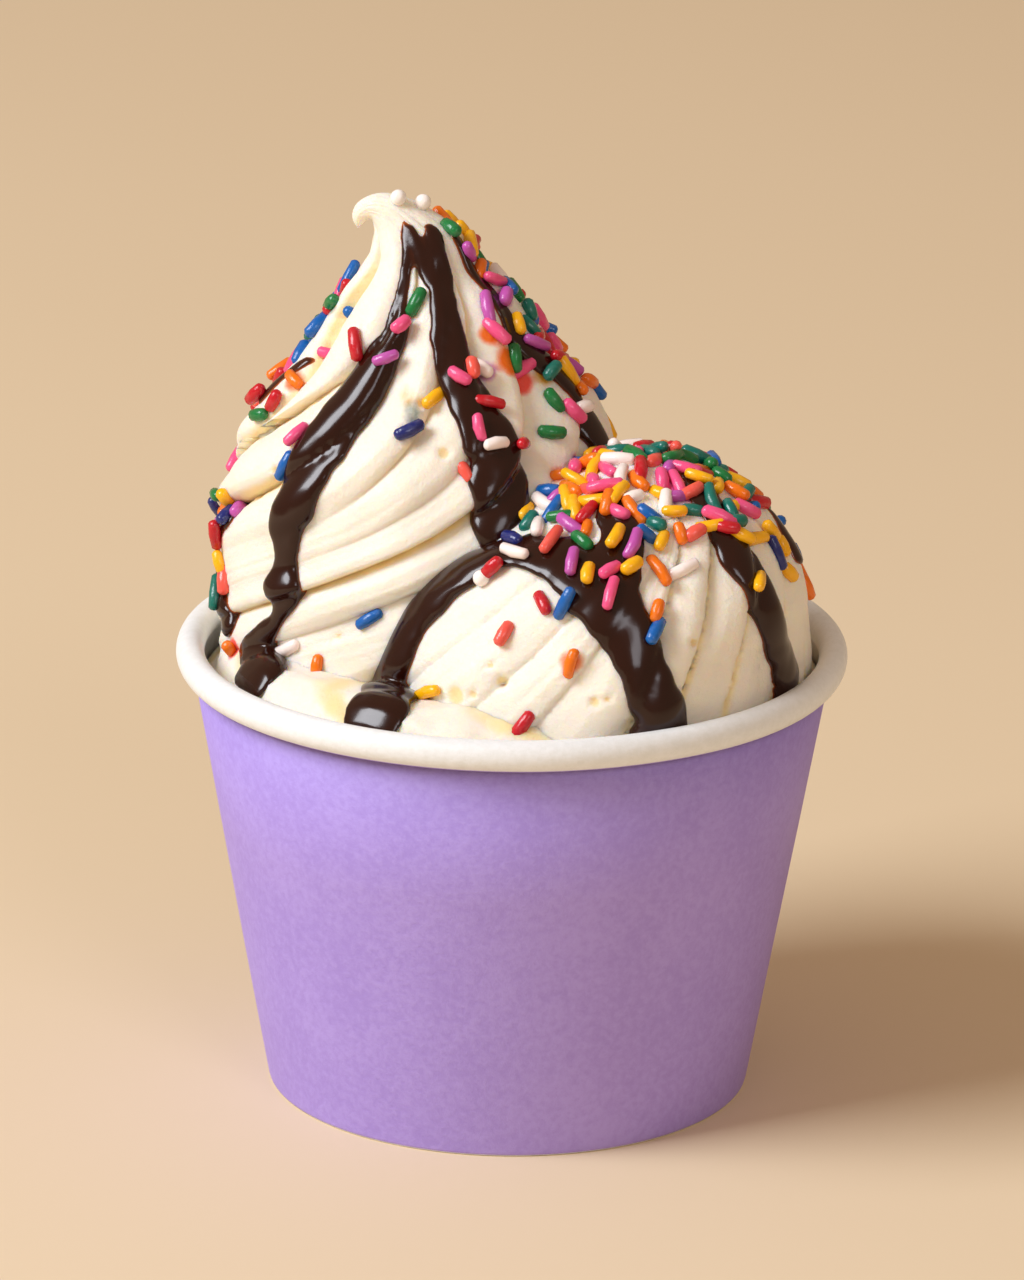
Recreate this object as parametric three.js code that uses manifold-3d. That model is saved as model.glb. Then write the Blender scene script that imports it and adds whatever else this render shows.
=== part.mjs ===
// A paper cup of vanilla soft serve: a tall twisted swirl with a hooked tip, and a lower mound that
// leans on its front, both with thick chocolate sauce and sugar sprinkles.
// Millimetres, +Z up. The origin is on the table under the middle of the cup, and the front faces -Y.
import * as THREE from "three";
import { mergeVertices } from "three/addons/utils/BufferGeometryUtils.js";
import Module from "manifold-3d";

const wasm = await Module();
wasm.setup();

// ---------------------------------------------------------------- driving dimensions: the cup
const RIM_RADIUS = 47.5; // outside of the rolled rim
const CUP_HEIGHT = 65.5; // table to the top of the rim
const FOOT_RADIUS = 34.2; // outside of the wall at the table
const WALL_SLOPE = 0.1775; // radius that the wall gains with each millimetre of height
const PAPER = 0.55; // thickness of the board
const ROLL_HALF_WIDTH = 2.02;
const ROLL_HALF_HEIGHT = 2.23;
const BASE_TOP = 7.5; // upper face of the recessed base
const HEM_HEIGHT = 6.5; // the wall's lower edge is folded in and up behind the base's skirt
const GAP = 0.3; // clear space between pieces that touch
const CUP_SEGMENTS = 40;

// ---------------------------------------------------------------- driving dimensions: the ice cream
// The lowest tier is a coil that stands a little over the rim. Its top from the middle outwards:
// radius, height.
const BED_CROWN = [
  [0, 62.6], [24, 63.2], [29.5, 65.0], [33.5, 66.3], [37, 66.2], [39.6, 64.8], [41.2, 62.8], [42, 61],
  [42.9, 59.8],
];
const BED_WALL_HEIGHT = 59; // below this the ice cream touches the wall
const BED_RIDGES = 9;
const BED_RIDGE_DEPTH = 1.1;
const BED_RIDGE_START = 59.5; // the ridges fade in between these heights
const BED_RIDGE_FULL = 62;
const NEAR_WALL = 40; // from this radius outwards the ridges are pressed in by the wall
const WALL_GIVE = 2.6;
const WALL_REACH = 72; // up to this height fully, and above WALL_CLEAR not at all
const WALL_CLEAR = 80;

// Stations up the middle of the tall swirl: place on the line, x, y, z, radius, lean of the section
// in degrees. Over the last ones the line bends over to the left and becomes the hook.
const SWIRL_STATIONS = [
  [48, -10.5, 7.5, 48, 26.5, 0],
  [62, -12.3, 8.5, 62, 29.3, 0],
  [74, -12.5, 8.5, 74, 29.2, 0],
  [86, -12.6, 8.5, 86, 27.6, 0],
  [93, -12.6, 8.4, 93, 25.4, 0],
  [99, -12.0, 8.2, 99, 21.7, 0],
  [103.5, -11.8, 8.0, 103.5, 18.2, 0],
  [107.5, -12.0, 8.0, 107.5, 15.4, 0],
  [111.5, -12.0, 8.0, 111.5, 12.6, 0],
  [115, -12.3, 8.0, 115, 10.0, 0],
  [118, -12.9, 8.0, 118, 7.7, 0],
  [121, -13.9, 8.0, 120.8, 6.4, 10.8],
  [123.5, -15.75, 8.0, 123.0, 4.7, 25],
  [125.5, -17.4, 8.0, 124.55, 3.4, 43],
  [127.3, -18.95, 8.0, 125.45, 2.5, 65],
  [129, -20.5, 8.0, 125.6, 1.7, 97],
  [130.5, -21.75, 8.0, 124.9, 1.25, 127],
  [131.8, -22.15, 8.0, 123.75, 0.8, 162],
  [133, -22.1, 8.0, 122.6, 0.05, 180],
];
const SWIRL_FOOT = 56; // the swirl goes on down to here inside the lowest tier
// Where the creases between the flutes stand once the twist is taken off: place on the line, then
// degrees from the front towards +X. Two of them close up below the hook's flute, which ends there.
const SWIRL_CREASES = [
  [86, -78, -75, -38, -3.5, 15, 34.5, 61.5, 107, 138, 172, 208, 245],
  [98, -77, -73.5, -37, -11.5, 12, 31, 66, 106, 138, 172, 208, 245],
  [110, -106, -51, -42, -15, -2, 27.5, 61, 106, 138, 170, 200, 226],
];
// How deep each of them is at such a place, as a share of the full depth.
const SWIRL_CREASE_DEPTHS = [
  [60, 1, 1, 1, 0.5, 0.5, 0.9, 0.5, 0.7, 1, 1, 1, 1],
  [72, 1, 1, 1.2, 0.05, 0.05, 0.9, 0.3, 0.7, 1, 1, 1, 1],
  [79, 1, 1, 1.4, 0.05, 0.1, 1.4, 0.5, 0.9, 1, 1, 1, 1],
  [85, 1, 1, 1.4, 0.15, 0.3, 1.4, 0.7, 1, 1, 1, 1, 1],
  [93, 1, 1.1, 1.1, 0.6, 0.5, 1.1, 1, 1, 1, 1, 1, 1],
  [106, 1, 1, 1, 1, 1, 1, 1, 1, 1, 1, 1, 1],
];
const TWIST_LEVEL = 95; // the twist is measured from here
const TWIST_SLOW = 1.1; // degrees of twist for each millimetre of height, near the tip
const TWIST_GAIN = 3.3; // and what is added low down
const TWIST_MIDDLE = 94; // height at which half of it is added
const TWIST_SPREAD = 4.5;
const TWIST_END = 124;
const SWIRL_FLUTE_DEPTH = 0.37; // of a flute's width
const SWIRL_SKEW = 1.7; // above 1 a flute bulges over the one below it
const SMOOTH_TIP = [116, 126]; // between these places the flutes fade towards the hook
const TIP_DEPTH = 0.3; // to this share of their depth

const MOUND_STATIONS = [
  [48, 11.5, -8.0, 48, 31.0, 0],
  [62, 11.5, -8.3, 62, 31.3, 0],
  [69, 12.0, -8.5, 69, 30.6, 0],
  [76, 12.8, -8.8, 76, 27.8, 0],
  [83, 14.2, -9.1, 83, 23.4, 0],
  [87, 16.0, -9.3, 87, 19.0, 0],
  [90.5, 17.2, -9.4, 90.5, 14.0, 0],
  [93.5, 17.7, -9.5, 93.5, 8.0, 0],
  [95.0, 17.7, -9.5, 95.0, 3.5, 0],
  [95.5, 17.7, -9.5, 95.5, 0.05, 0],
];
const MOUND_FOOT = 54;
// Each crease of the mound: degrees at MOUND_CREASE_TOP and MOUND_CREASE_LOW, and its share of the depth.
const MOUND_CREASES = [
  [-70, -95, 0.5], [-20, -62, 0.35], [2, -37, 0.3], [14, -17, 0.35], [22, 8, 0.9], [38, 20, 1],
  [55, 38, 1], [78, 60, 1], [104, 85, 1], [132, 112, 1], [165, 145, 1], [212, 195, 1], [252, 232, 0.8],
];
const MOUND_CREASE_TOP = 88;
const MOUND_CREASE_LOW = 64;
const CREASE_REACH = [-0.2, 1.3]; // the creases go on turning this far past those two heights
const MOUND_FLUTE_DEPTH = 0.29;
const MOUND_SKEW = 1.6;
const DEEPEST_FLUTE = 2.6;
const DEPTH_OF_RADIUS = 0.3; // a flute takes at most this share of the radius
const CREST_SHARE = 0.75; // the stations' radius is this far up from crease to crest
const DEGREES_A_COLUMN = 13; // about
const SWIRL_ROW = 4.1; // greatest height between two sections
const MOUND_ROW = 4.8;
const ROW_OF_RADIUS = 0.28; // near the tip the sections close up with the radius
const FINEST_ROW = 1.1;

// ---------------------------------------------------------------- driving dimensions: the toppings
const SAUCE_THICKNESS = 0.8; // of a run 2 mm wide, and more on wider ones
const SAUCE_THICKENING = 0.75; // how fast it grows: the power of half the width
const SAUCE_WIDTHS = [0.6, 4]; // the half widths between which it grows
const SAUCE_ROOT = 1.3; // how far the sauce's solid reaches into the ice cream
const SAUCE_SIDES = 6;
const SAUCE_STEP = 5.2; // length between two sections of a run
const SAUCE_RELIEF = 0.55; // the sauce fills the creases up to this share of their depth
// Runs of sauce. Each point: degrees, place on the line, half the run's width.
const SWIRL_SAUCE = {
  left: [
    [24, 125.2, 0.5], [-2, 123, 0.7], [-16, 120, 0.9], [-21, 116, 1], [-21, 112.5, 1.6], [-24, 109, 2.4],
    [-30, 105, 3.2], [-35, 100, 3.9], [-38, 95, 4.1], [-40, 90, 3.7], [-42, 85.5, 3.1], [-41.5, 80.5, 2],
    [-41.5, 76.5, 3.5], [-43, 72, 1.4], [-50, 67.5, 2.6], [-56, 61.5, 4.6],
  ],
  middle: [
    [51, 123.5, 1], [30, 121.5, 1.4], [20, 119.3, 1.7], [12, 115, 2], [12, 110, 2.6], [15, 105.2, 3.1],
    [20, 101, 3.6], [24, 96, 4.2], [24, 88, 4.4], [23, 80, 3.6],
  ],
  right: [
    [70, 122.2, 1], [61, 119.8, 1.3], [59, 116.5, 1.5], [57, 111.2, 1.7], [62, 107, 2.1], [71, 104, 2.6],
    [75, 100, 2.8], [75, 94, 2.4], [72, 89, 1.9], [71, 84, 1.6],
  ],
  leftStreak: [[-76, 105, 0.9], [-84, 101, 1.4], [-88, 97, 1.5]],
  farLeft: [[-72, 83, 1.3], [-83, 77, 1.0], [-82, 72, 1.1], [-70, 68, 2.3], [-67, 65.5, 1.6]],
  behindRight: [
    [128, 117, 1.3], [134, 108, 2.2], [140, 99, 2.9], [134, 90, 3.1], [128, 82, 2.4], [124, 77, 2.9],
  ],
  behind: [
    [192, 119, 1.2], [188, 110, 2.1], [182, 101, 2.8], [190, 92, 3.1], [186, 83, 2.3], [182, 76, 2.9],
    [180, 72, 2.2],
  ],
  behindLeft: [[-124, 112, 1.3], [-128, 104, 2.0], [-122, 96, 2.3], [-128, 88, 1.9], [-126, 83, 2.3]],
};
const MOUND_SAUCE = {
  archLeft: [
    [-40, 86.5, 3.5], [-54, 84, 3.9], [-61, 79, 3.8], [-64, 74, 3.5], [-64, 69, 3.5], [-68, 63, 3.9],
    [-74, 59, 4.2],
  ],
  archRight: [
    [-52, 86, 3.3], [-29, 86, 3.6], [-10, 84, 3.9], [2, 80, 3.8], [9, 75.5, 3.5], [14, 70, 3.4],
    [17, 66, 4.2], [17, 61, 4.4],
  ],
  fromTop: [[-30, 94, 1.6], [-11, 90.3, 2.6], [-3, 86.5, 3.2], [1, 82, 3.2]],
  right: [
    [70, 94.4, 2.0], [48, 91.5, 2.7], [48, 86, 3.2], [53, 80.5, 3.0], [58, 74.5, 2.7], [65, 69, 3.0],
    [68, 63, 4.4],
  ],
  farRight: [[105, 88, 1.2], [92, 84, 1.5], [87, 79.5, 1.5]],
  behindRight: [[140, 91, 1.5], [132, 85, 2.2], [126, 78, 2.4], [128, 71, 2.7]],
};
// Where a run spreads over the lowest tier it leaves a pool: x and y of its middle, its half sizes.
const SWIRL_POOLS = [[-34.6, -10.5, 3.6, 6.2], [-35.6, -16.6, 4.6, 4.8]];
const MOUND_POOLS = [[-16.6, -27.0, 4.4, 7], [-18.4, -33.4, 4.8, 5]];
const POOL_THICKNESS = 1.6;
const POOL_REACH = 41.2; // greatest distance of a pool from the axis
const POOL_COLUMNS = 10;
const POOL_ROWS = 6;
const SPRINKLE_RADIUS = 1.0;
const SPRINKLE_LENGTH = 5.4;
const SPRINKLE_SIDES = 5;
const SPRINKLE_END = 0.7; // length of each rounded end
const SPRINKLE_RISE = 0.55; // how far its middle stands above the surface
const SPRINKLE_SPACING = 4.6; // least distance between two middles
// Where sprinkles lie thickly: degrees from and to, place from and to, how many.
const SWIRL_SPRINKLE_ZONES = [
  [60, 118, 97, 121, 14],
  [-122, -76, 95, 113, 10],
  [-112, -72, 70, 86, 6],
  [122, 236, 76, 118, 11],
];
const MOUND_SPRINKLE_ZONES = [
  [-180, 180, 87.5, 95.3, 20],
  [50, 130, 68, 88, 7],
  [-80, -10, 80, 90, 4],
];
// Sprinkles that lie alone: degrees, place, turn from upright in degrees.
const SWIRL_SPRINKLES = [
  [-41, 109, 30], [-46, 97, 15], [-46, 91.5, -25], [-7, 99.5, -55], [2, 103.5, -60], [17, 99.5, 8],
  [13, 94.5, -40], [-29, 66.6, 0], [57, 101, 15], [78, 101, 10], [-15, 74, -55], [-64, 64.5, 40],
];
const MOUND_SPRINKLES = [
  [-74, 82, -25], [-14, 81, -28], [-30, 76.5, 0], [-9, 74, -5], [-19, 66, -30], [-22, 80.5, -50],
  [49, 86.5, 45], [22, 88, 20], [14, 85, 40], [13, 80.5, -10], [22, 74.5, 60], [37, 74, 40], [79, 70, 30],
  [3, 84.5, -35],
];
const SCATTER_SEED = 20903;
const SCATTER_TRIES = 60;
const SEAM_GAP = 0.42; // cut away between the two portions
const SEAM_MARGIN = 2.6; // toppings stay this far from where the two portions meet
const FINEST = 0.001; // corners that stand out less than this are left out

// ---------------------------------------------------------------- small helpers
const radians = THREE.MathUtils.degToRad;
const clamp = THREE.MathUtils.clamp;
const lerp = THREE.MathUtils.lerp;

function seededDraw(seed) {
  let state = seed;
  return () => {
    state = (Math.imul(state, 1664525) + 1013904223) >>> 0;
    return state / 4294967296;
  };
}

// A smooth curve through the rows of a table, read at the first column's value t.
function along(rows, t) {
  const last = rows.length - 1;
  const at = clamp(t, rows[0][0], rows[last][0]);
  let i = 0;
  while (i < last - 1 && rows[i + 1][0] <= at) i += 1;
  const step = (k) => rows[k + 1][0] - rows[k][0];
  const slope = (k, c) => (rows[k + 1][c] - rows[k][c]) / step(k);
  const tangent = (k, c) => {
    if (k === 0) return slope(0, c);
    if (k === last) return slope(last - 1, c);
    return (slope(k - 1, c) * step(k) + slope(k, c) * step(k - 1)) / (step(k) + step(k - 1));
  };
  const h = step(i);
  const s = (at - rows[i][0]) / h;
  const start = 2 * s ** 3 - 3 * s ** 2 + 1;
  const leave = s ** 3 - 2 * s ** 2 + s;
  const arrive = s ** 3 - s ** 2;
  const bend = (c) => leave * h * tangent(i, c) + arrive * h * tangent(i + 1, c);
  return rows[i].map((value, c) => start * value + (1 - start) * rows[i + 1][c] + bend(c));
}

function solid(geometry) {
  geometry.deleteAttribute("normal");
  geometry.deleteAttribute("uv");
  const merged = mergeVertices(geometry, 1e-4);
  const mesh = new wasm.Mesh({
    numProp: 3,
    vertProperties: new Float32Array(merged.attributes.position.array),
    triVerts: new Uint32Array(merged.index.array),
  });
  return new wasm.Manifold(mesh);
}

function geometryOf(manifold) {
  const mesh = manifold.getMesh();
  const geometry = new THREE.BufferGeometry();
  geometry.setAttribute("position", new THREE.BufferAttribute(new Float32Array(mesh.vertProperties), 3));
  geometry.setIndex(new THREE.BufferAttribute(new Uint32Array(mesh.triVerts), 1));
  geometry.computeVertexNormals();
  return geometry;
}

const joined = (solids) => solids.reduce((whole, piece) => whole.add(piece));

function largestPiece(manifold) {
  const pieces = manifold.decompose();
  return pieces.reduce((best, piece) => (piece.volume() > best.volume() ? piece : best));
}

// ---------------------------------------------------------------- the paper cup
const wallOutside = (z) => FOOT_RADIUS + WALL_SLOPE * z;
const wallInside = (z) => wallOutside(z) - PAPER;

const ROLL_RADIUS = RIM_RADIUS - ROLL_HALF_WIDTH;
const ROLL_HEIGHT = CUP_HEIGHT - ROLL_HALF_HEIGHT;
const ROLL_START = -118; // degrees round the roll where the wall's inner face runs into it
const ROLL_INNER_START = -103; // and its outer face, inside the roll
const ROLL_END = -440; // once round, by way of the inside, the top and the outside
const ROLL_STEPS = 6;

function rollPoint(degrees, inset) {
  const a = radians(degrees);
  return new THREE.Vector2(
    ROLL_RADIUS + (ROLL_HALF_WIDTH - inset) * Math.cos(a),
    ROLL_HEIGHT + (ROLL_HALF_HEIGHT - inset) * Math.sin(a),
  );
}

function cupWallGeometry() {
  const skirtRoom = PAPER + 2 * GAP; // between the wall and its folded hem, for the base's skirt
  const hemInside = (z) => wallInside(z) - skirtRoom - PAPER;
  const profile = [new THREE.Vector2(FOOT_RADIUS, 0)];
  for (let i = 0; i <= ROLL_STEPS; i += 1) {
    profile.push(rollPoint(lerp(ROLL_INNER_START, ROLL_END, i / ROLL_STEPS), PAPER));
  }
  for (let i = ROLL_STEPS; i >= 0; i -= 1) {
    profile.push(rollPoint(lerp(ROLL_START, ROLL_END, i / ROLL_STEPS), 0));
  }
  profile.push(
    new THREE.Vector2(wallInside(PAPER), PAPER),
    new THREE.Vector2(wallInside(PAPER) - skirtRoom, PAPER),
    new THREE.Vector2(wallInside(HEM_HEIGHT) - skirtRoom, HEM_HEIGHT),
    new THREE.Vector2(hemInside(HEM_HEIGHT), HEM_HEIGHT),
    new THREE.Vector2(hemInside(0), 0),
    new THREE.Vector2(FOOT_RADIUS, 0),
  );
  return upright(new THREE.LatheGeometry(profile, CUP_SEGMENTS));
}

function cupBaseGeometry() {
  const skirtOutside = (z) => wallInside(z) - GAP;
  const skirtInside = (z) => skirtOutside(z) - PAPER;
  const skirtFoot = PAPER + GAP;
  const under = BASE_TOP - PAPER;
  const profile = [
    new THREE.Vector2(0, under),
    new THREE.Vector2(skirtInside(under), under),
    new THREE.Vector2(skirtInside(skirtFoot), skirtFoot),
    new THREE.Vector2(skirtOutside(skirtFoot), skirtFoot),
    new THREE.Vector2(skirtOutside(BASE_TOP), BASE_TOP),
    new THREE.Vector2(0, BASE_TOP),
  ];
  return upright(new THREE.LatheGeometry(profile, CUP_SEGMENTS));
}

// A lathe turns about Y. This stands it on Z and closes its seam.
function upright(lathe) {
  lathe.rotateX(Math.PI / 2);
  return geometryOf(solid(lathe));
}

// ---------------------------------------------------------------- the surfaces of the ice cream
const softplus = (x) => Math.log1p(Math.exp(-Math.abs(x))) + Math.max(x, 0);

function twist(t) {
  const z = Math.min(t, TWIST_END);
  const added = (height) => softplus((TWIST_MIDDLE - height) / TWIST_SPREAD);
  return TWIST_SLOW * (z - TWIST_LEVEL) - TWIST_GAIN * TWIST_SPREAD * (added(z) - added(TWIST_LEVEL));
}

function twistRate(t) {
  return TWIST_SLOW + TWIST_GAIN / (1 + Math.exp((t - TWIST_MIDDLE) / TWIST_SPREAD));
}

// Round in section, with a sharp crease at 0 and at 1.
function flute(u, skew) {
  const across = 2 * clamp(u, 0, 1) ** skew - 1;
  return Math.sqrt(Math.max(0, 1 - across * across));
}

// The creases at a place on the line, in rising order, one turn and the first again.
function swirlCreases(t) {
  const [, ...once] = along(SWIRL_CREASES, t);
  return [...once, once[0] + 360].map((degrees) => degrees + twist(t));
}

function moundCreases(t) {
  const share = clamp((MOUND_CREASE_TOP - t) / (MOUND_CREASE_TOP - MOUND_CREASE_LOW), ...CREASE_REACH);
  const [top, low] = MOUND_CREASES[0];
  return [...MOUND_CREASES, [top + 360, low + 360]].map(([a, b]) => lerp(a, b, share));
}

// How deep each of those creases is, as a share of the full depth.
function swirlShares(t) {
  const [, ...once] = along(SWIRL_CREASE_DEPTHS, t);
  return [...once, once[0]];
}

const moundShares = () => [...MOUND_CREASES, MOUND_CREASES[0]].map(([, , depth]) => depth);

function pressedIn(point) {
  const r = Math.hypot(point.x, point.y);
  const share = clamp((WALL_CLEAR - point.z) / (WALL_CLEAR - WALL_REACH), 0, 1);
  if (r <= NEAR_WALL || share === 0) return point;
  const pressed = NEAR_WALL + WALL_GIVE * Math.tanh((r - NEAR_WALL) / WALL_GIVE);
  const scale = lerp(1, pressed / r, share);
  return point.set(point.x * scale, point.y * scale, point.z);
}

function portion({ stations, creases, shares, depthOf, skew }) {
  // The point at so many degrees and at a place on the line, lifted off the surface, and with
  // the share of the flutes' depth that shows.
  function point(degrees, t, lift = 0, relief = 1) {
    const [, x, y, z, radius, lean] = along(stations, t);
    const marks = creases(t);
    const phase = ((((degrees - marks[0]) % 360) + 360) % 360) + marks[0];
    let i = 0;
    while (i < marks.length - 2 && marks[i + 1] <= phase) i += 1;
    const width = marks[i + 1] - marks[i];
    const u = (phase - marks[i]) / width;
    const shown = shares(t);
    const depth = lerp(shown[i], shown[i + 1], u) * depthOf(radians(width) * radius, radius, t);
    const r = Math.max(radius + relief * depth * (flute(u, skew) - CREST_SHARE), 0.02);
    const a = radians(degrees);
    const tilt = radians(lean);
    const outward = new THREE.Vector3(
      Math.sin(a) * Math.cos(tilt),
      -Math.cos(a),
      Math.sin(a) * Math.sin(tilt),
    );
    const surface = pressedIn(new THREE.Vector3(x, y, z).addScaledVector(outward, r));
    return surface.addScaledVector(outward, lift);
  }

  // Directions on the smooth surface: round it, up it and out of it.
  function frame(degrees, t) {
    const e = 0.5;
    const round = point(degrees + e, t, 0, 0).sub(point(degrees - e, t, 0, 0)).divideScalar(2 * e);
    const up = point(degrees, t + e, 0, 0).sub(point(degrees, t - e, 0, 0)).divideScalar(2 * e);
    const out = round.clone().cross(up).normalize();
    return { round, up, out };
  }

  function holds(p, margin) {
    if (p.z > stations[stations.length - 1][3] + margin) return false;
    const [, x, y, , radius] = along(stations, p.z);
    return Math.hypot(p.x - x, p.y - y) < radius + margin;
  }

  return { stations, creases, point, frame, holds };
}

const swirl = portion({
  stations: SWIRL_STATIONS,
  creases: swirlCreases,
  shares: swirlShares,
  skew: SWIRL_SKEW,
  depthOf: (arc, radius, t) => {
    const [first, last] = SMOOTH_TIP;
    const fade = lerp(1, TIP_DEPTH, clamp((t - first) / (last - first), 0, 1));
    const slope = Math.hypot(1, radius * radians(twistRate(t)));
    return fade * Math.min((SWIRL_FLUTE_DEPTH * arc) / slope, DEPTH_OF_RADIUS * radius);
  },
});
const mound = portion({
  stations: MOUND_STATIONS,
  creases: moundCreases,
  shares: moundShares,
  skew: MOUND_SKEW,
  depthOf: (arc, radius) => Math.min(MOUND_FLUTE_DEPTH * arc, DEPTH_OF_RADIUS * radius, DEEPEST_FLUTE),
});

// ---------------------------------------------------------------- solids of the ice cream
// A sphere's grid of corners, each one moved to where place(column, row) says.
function shapedSphere(columns, rows, place) {
  const sphere = new THREE.SphereGeometry(1, columns, rows);
  const position = sphere.attributes.position;
  for (let i = 0; i < position.count; i += 1) {
    const row = Math.floor(i / (columns + 1));
    const column = i % (columns + 1);
    const p = place(column % columns, row);
    position.setXYZ(i, p.x, p.y, p.z);
  }
  return solid(sphere);
}

// Places on the line from the tip down to foot: close together where the radius changes fast.
function rowPlaces(stations, foot, step) {
  const places = [];
  let t = stations[stations.length - 1][0];
  while (t > foot) {
    places.push(t);
    const [, , , , radius] = along(stations, t);
    t -= clamp(ROW_OF_RADIUS * radius, FINEST_ROW, step);
  }
  places.push(foot);
  return places;
}

function portionSolid(body, foot, step, grow) {
  // Columns run along the flutes, with one on each crease.
  const columns = [];
  const widths = body.creases(foot + step);
  for (let i = 0; i < widths.length - 1; i += 1) {
    const count = Math.max(2, Math.round((widths[i + 1] - widths[i]) / DEGREES_A_COLUMN));
    for (let k = 0; k < count; k += 1) columns.push([i, k / count]);
  }
  const places = rowPlaces(body.stations, foot, step);
  const last = places.length - 1;
  const middle = (t, lift) => {
    const [, x, y, z] = along(body.stations, t);
    return new THREE.Vector3(x, y, z + lift);
  };
  return shapedSphere(columns.length, last + 1, (column, row) => {
    if (row === 0) return middle(places[0], 0);
    if (row > last) return middle(foot, -grow);
    const t = places[row];
    const marks = body.creases(t);
    const [i, share] = columns[column];
    return body.point(lerp(marks[i], marks[i + 1], share), t, grow);
  });
}

// The lowest tier fills the cup from the base up, and rounds over inside the rim.
function bedSolid(grow) {
  const floor = BASE_TOP + GAP;
  const profile = [
    ...BED_CROWN,
    [wallInside(BED_WALL_HEIGHT) - GAP, BED_WALL_HEIGHT],
    [wallInside(floor) - GAP, floor],
    [0, floor],
  ];
  const columns = 3 * BED_RIDGES;
  const ridge = (degrees, z) => {
    const u = ((degrees + twist(z)) * BED_RIDGES) / 360;
    const fade = clamp((z - BED_RIDGE_START) / (BED_RIDGE_FULL - BED_RIDGE_START), 0, 1);
    return -BED_RIDGE_DEPTH * fade * Math.abs(Math.cos(Math.PI * u));
  };
  return shapedSphere(columns, profile.length - 1, (column, row) => {
    const [r, z] = profile[row];
    const degrees = (column * 360) / columns;
    const a = radians(degrees);
    const inset = r > 0 ? ridge(degrees, z) : 0;
    const lift = z > BED_WALL_HEIGHT ? grow : 0;
    const out = r > 0 ? r + inset + lift : 0;
    return new THREE.Vector3(out * Math.sin(a), -out * Math.cos(a), z + lift);
  });
}

// ---------------------------------------------------------------- sauce and sprinkles
// A run of sauce: a flattened closed tube that lies along its path and follows the flutes.
function sauceSolid(body, path, grow = 0) {
  const rows = path.map((point, i) => [i, ...point]);
  const at = (s) => {
    const [, degrees, t, half] = along(rows, s * (path.length - 1));
    return { degrees, t, half };
  };
  let length = 0;
  const probes = 4 * path.length;
  for (let i = 0; i < probes; i += 1) {
    const a = at(i / probes);
    const b = at((i + 1) / probes);
    length += body.point(a.degrees, a.t, 0, 0).distanceTo(body.point(b.degrees, b.t, 0, 0));
  }
  const count = Math.max(4, Math.round(length / SAUCE_STEP));
  const stride = 0.01;
  return shapedSphere(SAUCE_SIDES, count, (column, row) => {
    const s = row / count;
    const { degrees, t, half } = at(s);
    const thickness = SAUCE_THICKNESS * clamp(half, ...SAUCE_WIDTHS) ** SAUCE_THICKENING;
    const { round, up, out } = body.frame(degrees, t);
    const ahead = at(Math.min(s + stride, 1));
    const behind = at(Math.max(s - stride, 0));
    const run = body.point(ahead.degrees, ahead.t, 0, 0).sub(body.point(behind.degrees, behind.t, 0, 0));
    const side = run.cross(out).normalize();
    const end = row === 0 || row === count;
    const a = (column / SAUCE_SIDES) * 2 * Math.PI;
    const across = end ? 0 : (half + grow) * Math.cos(a);
    const high = end ? 0 : Math.sin(a);
    // The step sideways, in degrees and in places on the line.
    const turn = (across * side.dot(round)) / round.lengthSq();
    const rise = (across * side.dot(up)) / up.lengthSq();
    const lift = high > 0 ? high * (thickness + grow) : high * SAUCE_ROOT;
    return body.point(degrees + turn, t + rise, lift, high > 0 ? SAUCE_RELIEF : 1);
  });
}

// A closed cake of sauce that is draped over the lowest tier.
function poolSolid([x, y, halfX, halfY]) {
  const crown = (r) => {
    const i = BED_CROWN.findIndex(([reach]) => reach >= r);
    const [[r0, z0], [r1, z1]] = [BED_CROWN[i - 1], BED_CROWN[i]];
    return lerp(z0, z1, (r - r0) / (r1 - r0));
  };
  return shapedSphere(POOL_COLUMNS, POOL_ROWS, (column, row) => {
    const a = (column / POOL_COLUMNS) * 2 * Math.PI;
    const high = Math.cos((row / POOL_ROWS) * Math.PI);
    const wide = Math.sin((row / POOL_ROWS) * Math.PI);
    const place = new THREE.Vector2(x + halfX * wide * Math.cos(a), y + halfY * wide * Math.sin(a));
    place.clampLength(0, POOL_REACH);
    const lift = high * (high > 0 ? POOL_THICKNESS : SAUCE_ROOT);
    return new THREE.Vector3(place.x, place.y, crown(place.length()) + lift);
  });
}

function sprinkleSolid(body, [degrees, t, turn]) {
  const { round, up, out } = body.frame(degrees, t);
  const a = radians(turn);
  const length = up.normalize().multiplyScalar(Math.cos(a)).addScaledVector(round.normalize(), Math.sin(a));
  const across = length.clone().cross(out).normalize();
  const middle = body.point(degrees, t, SPRINKLE_RISE);
  const tip = SPRINKLE_LENGTH / 2;
  const reach = [-tip, SPRINKLE_END - tip, tip - SPRINKLE_END, tip];
  const girth = [0, SPRINKLE_RADIUS, SPRINKLE_RADIUS, 0];
  return shapedSphere(SPRINKLE_SIDES, reach.length - 1, (column, row) => {
    const b = (column / SPRINKLE_SIDES) * 2 * Math.PI;
    return middle
      .clone()
      .addScaledVector(length, reach[row])
      .addScaledVector(across, girth[row] * Math.cos(b))
      .addScaledVector(out, girth[row] * Math.sin(b));
  });
}

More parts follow.
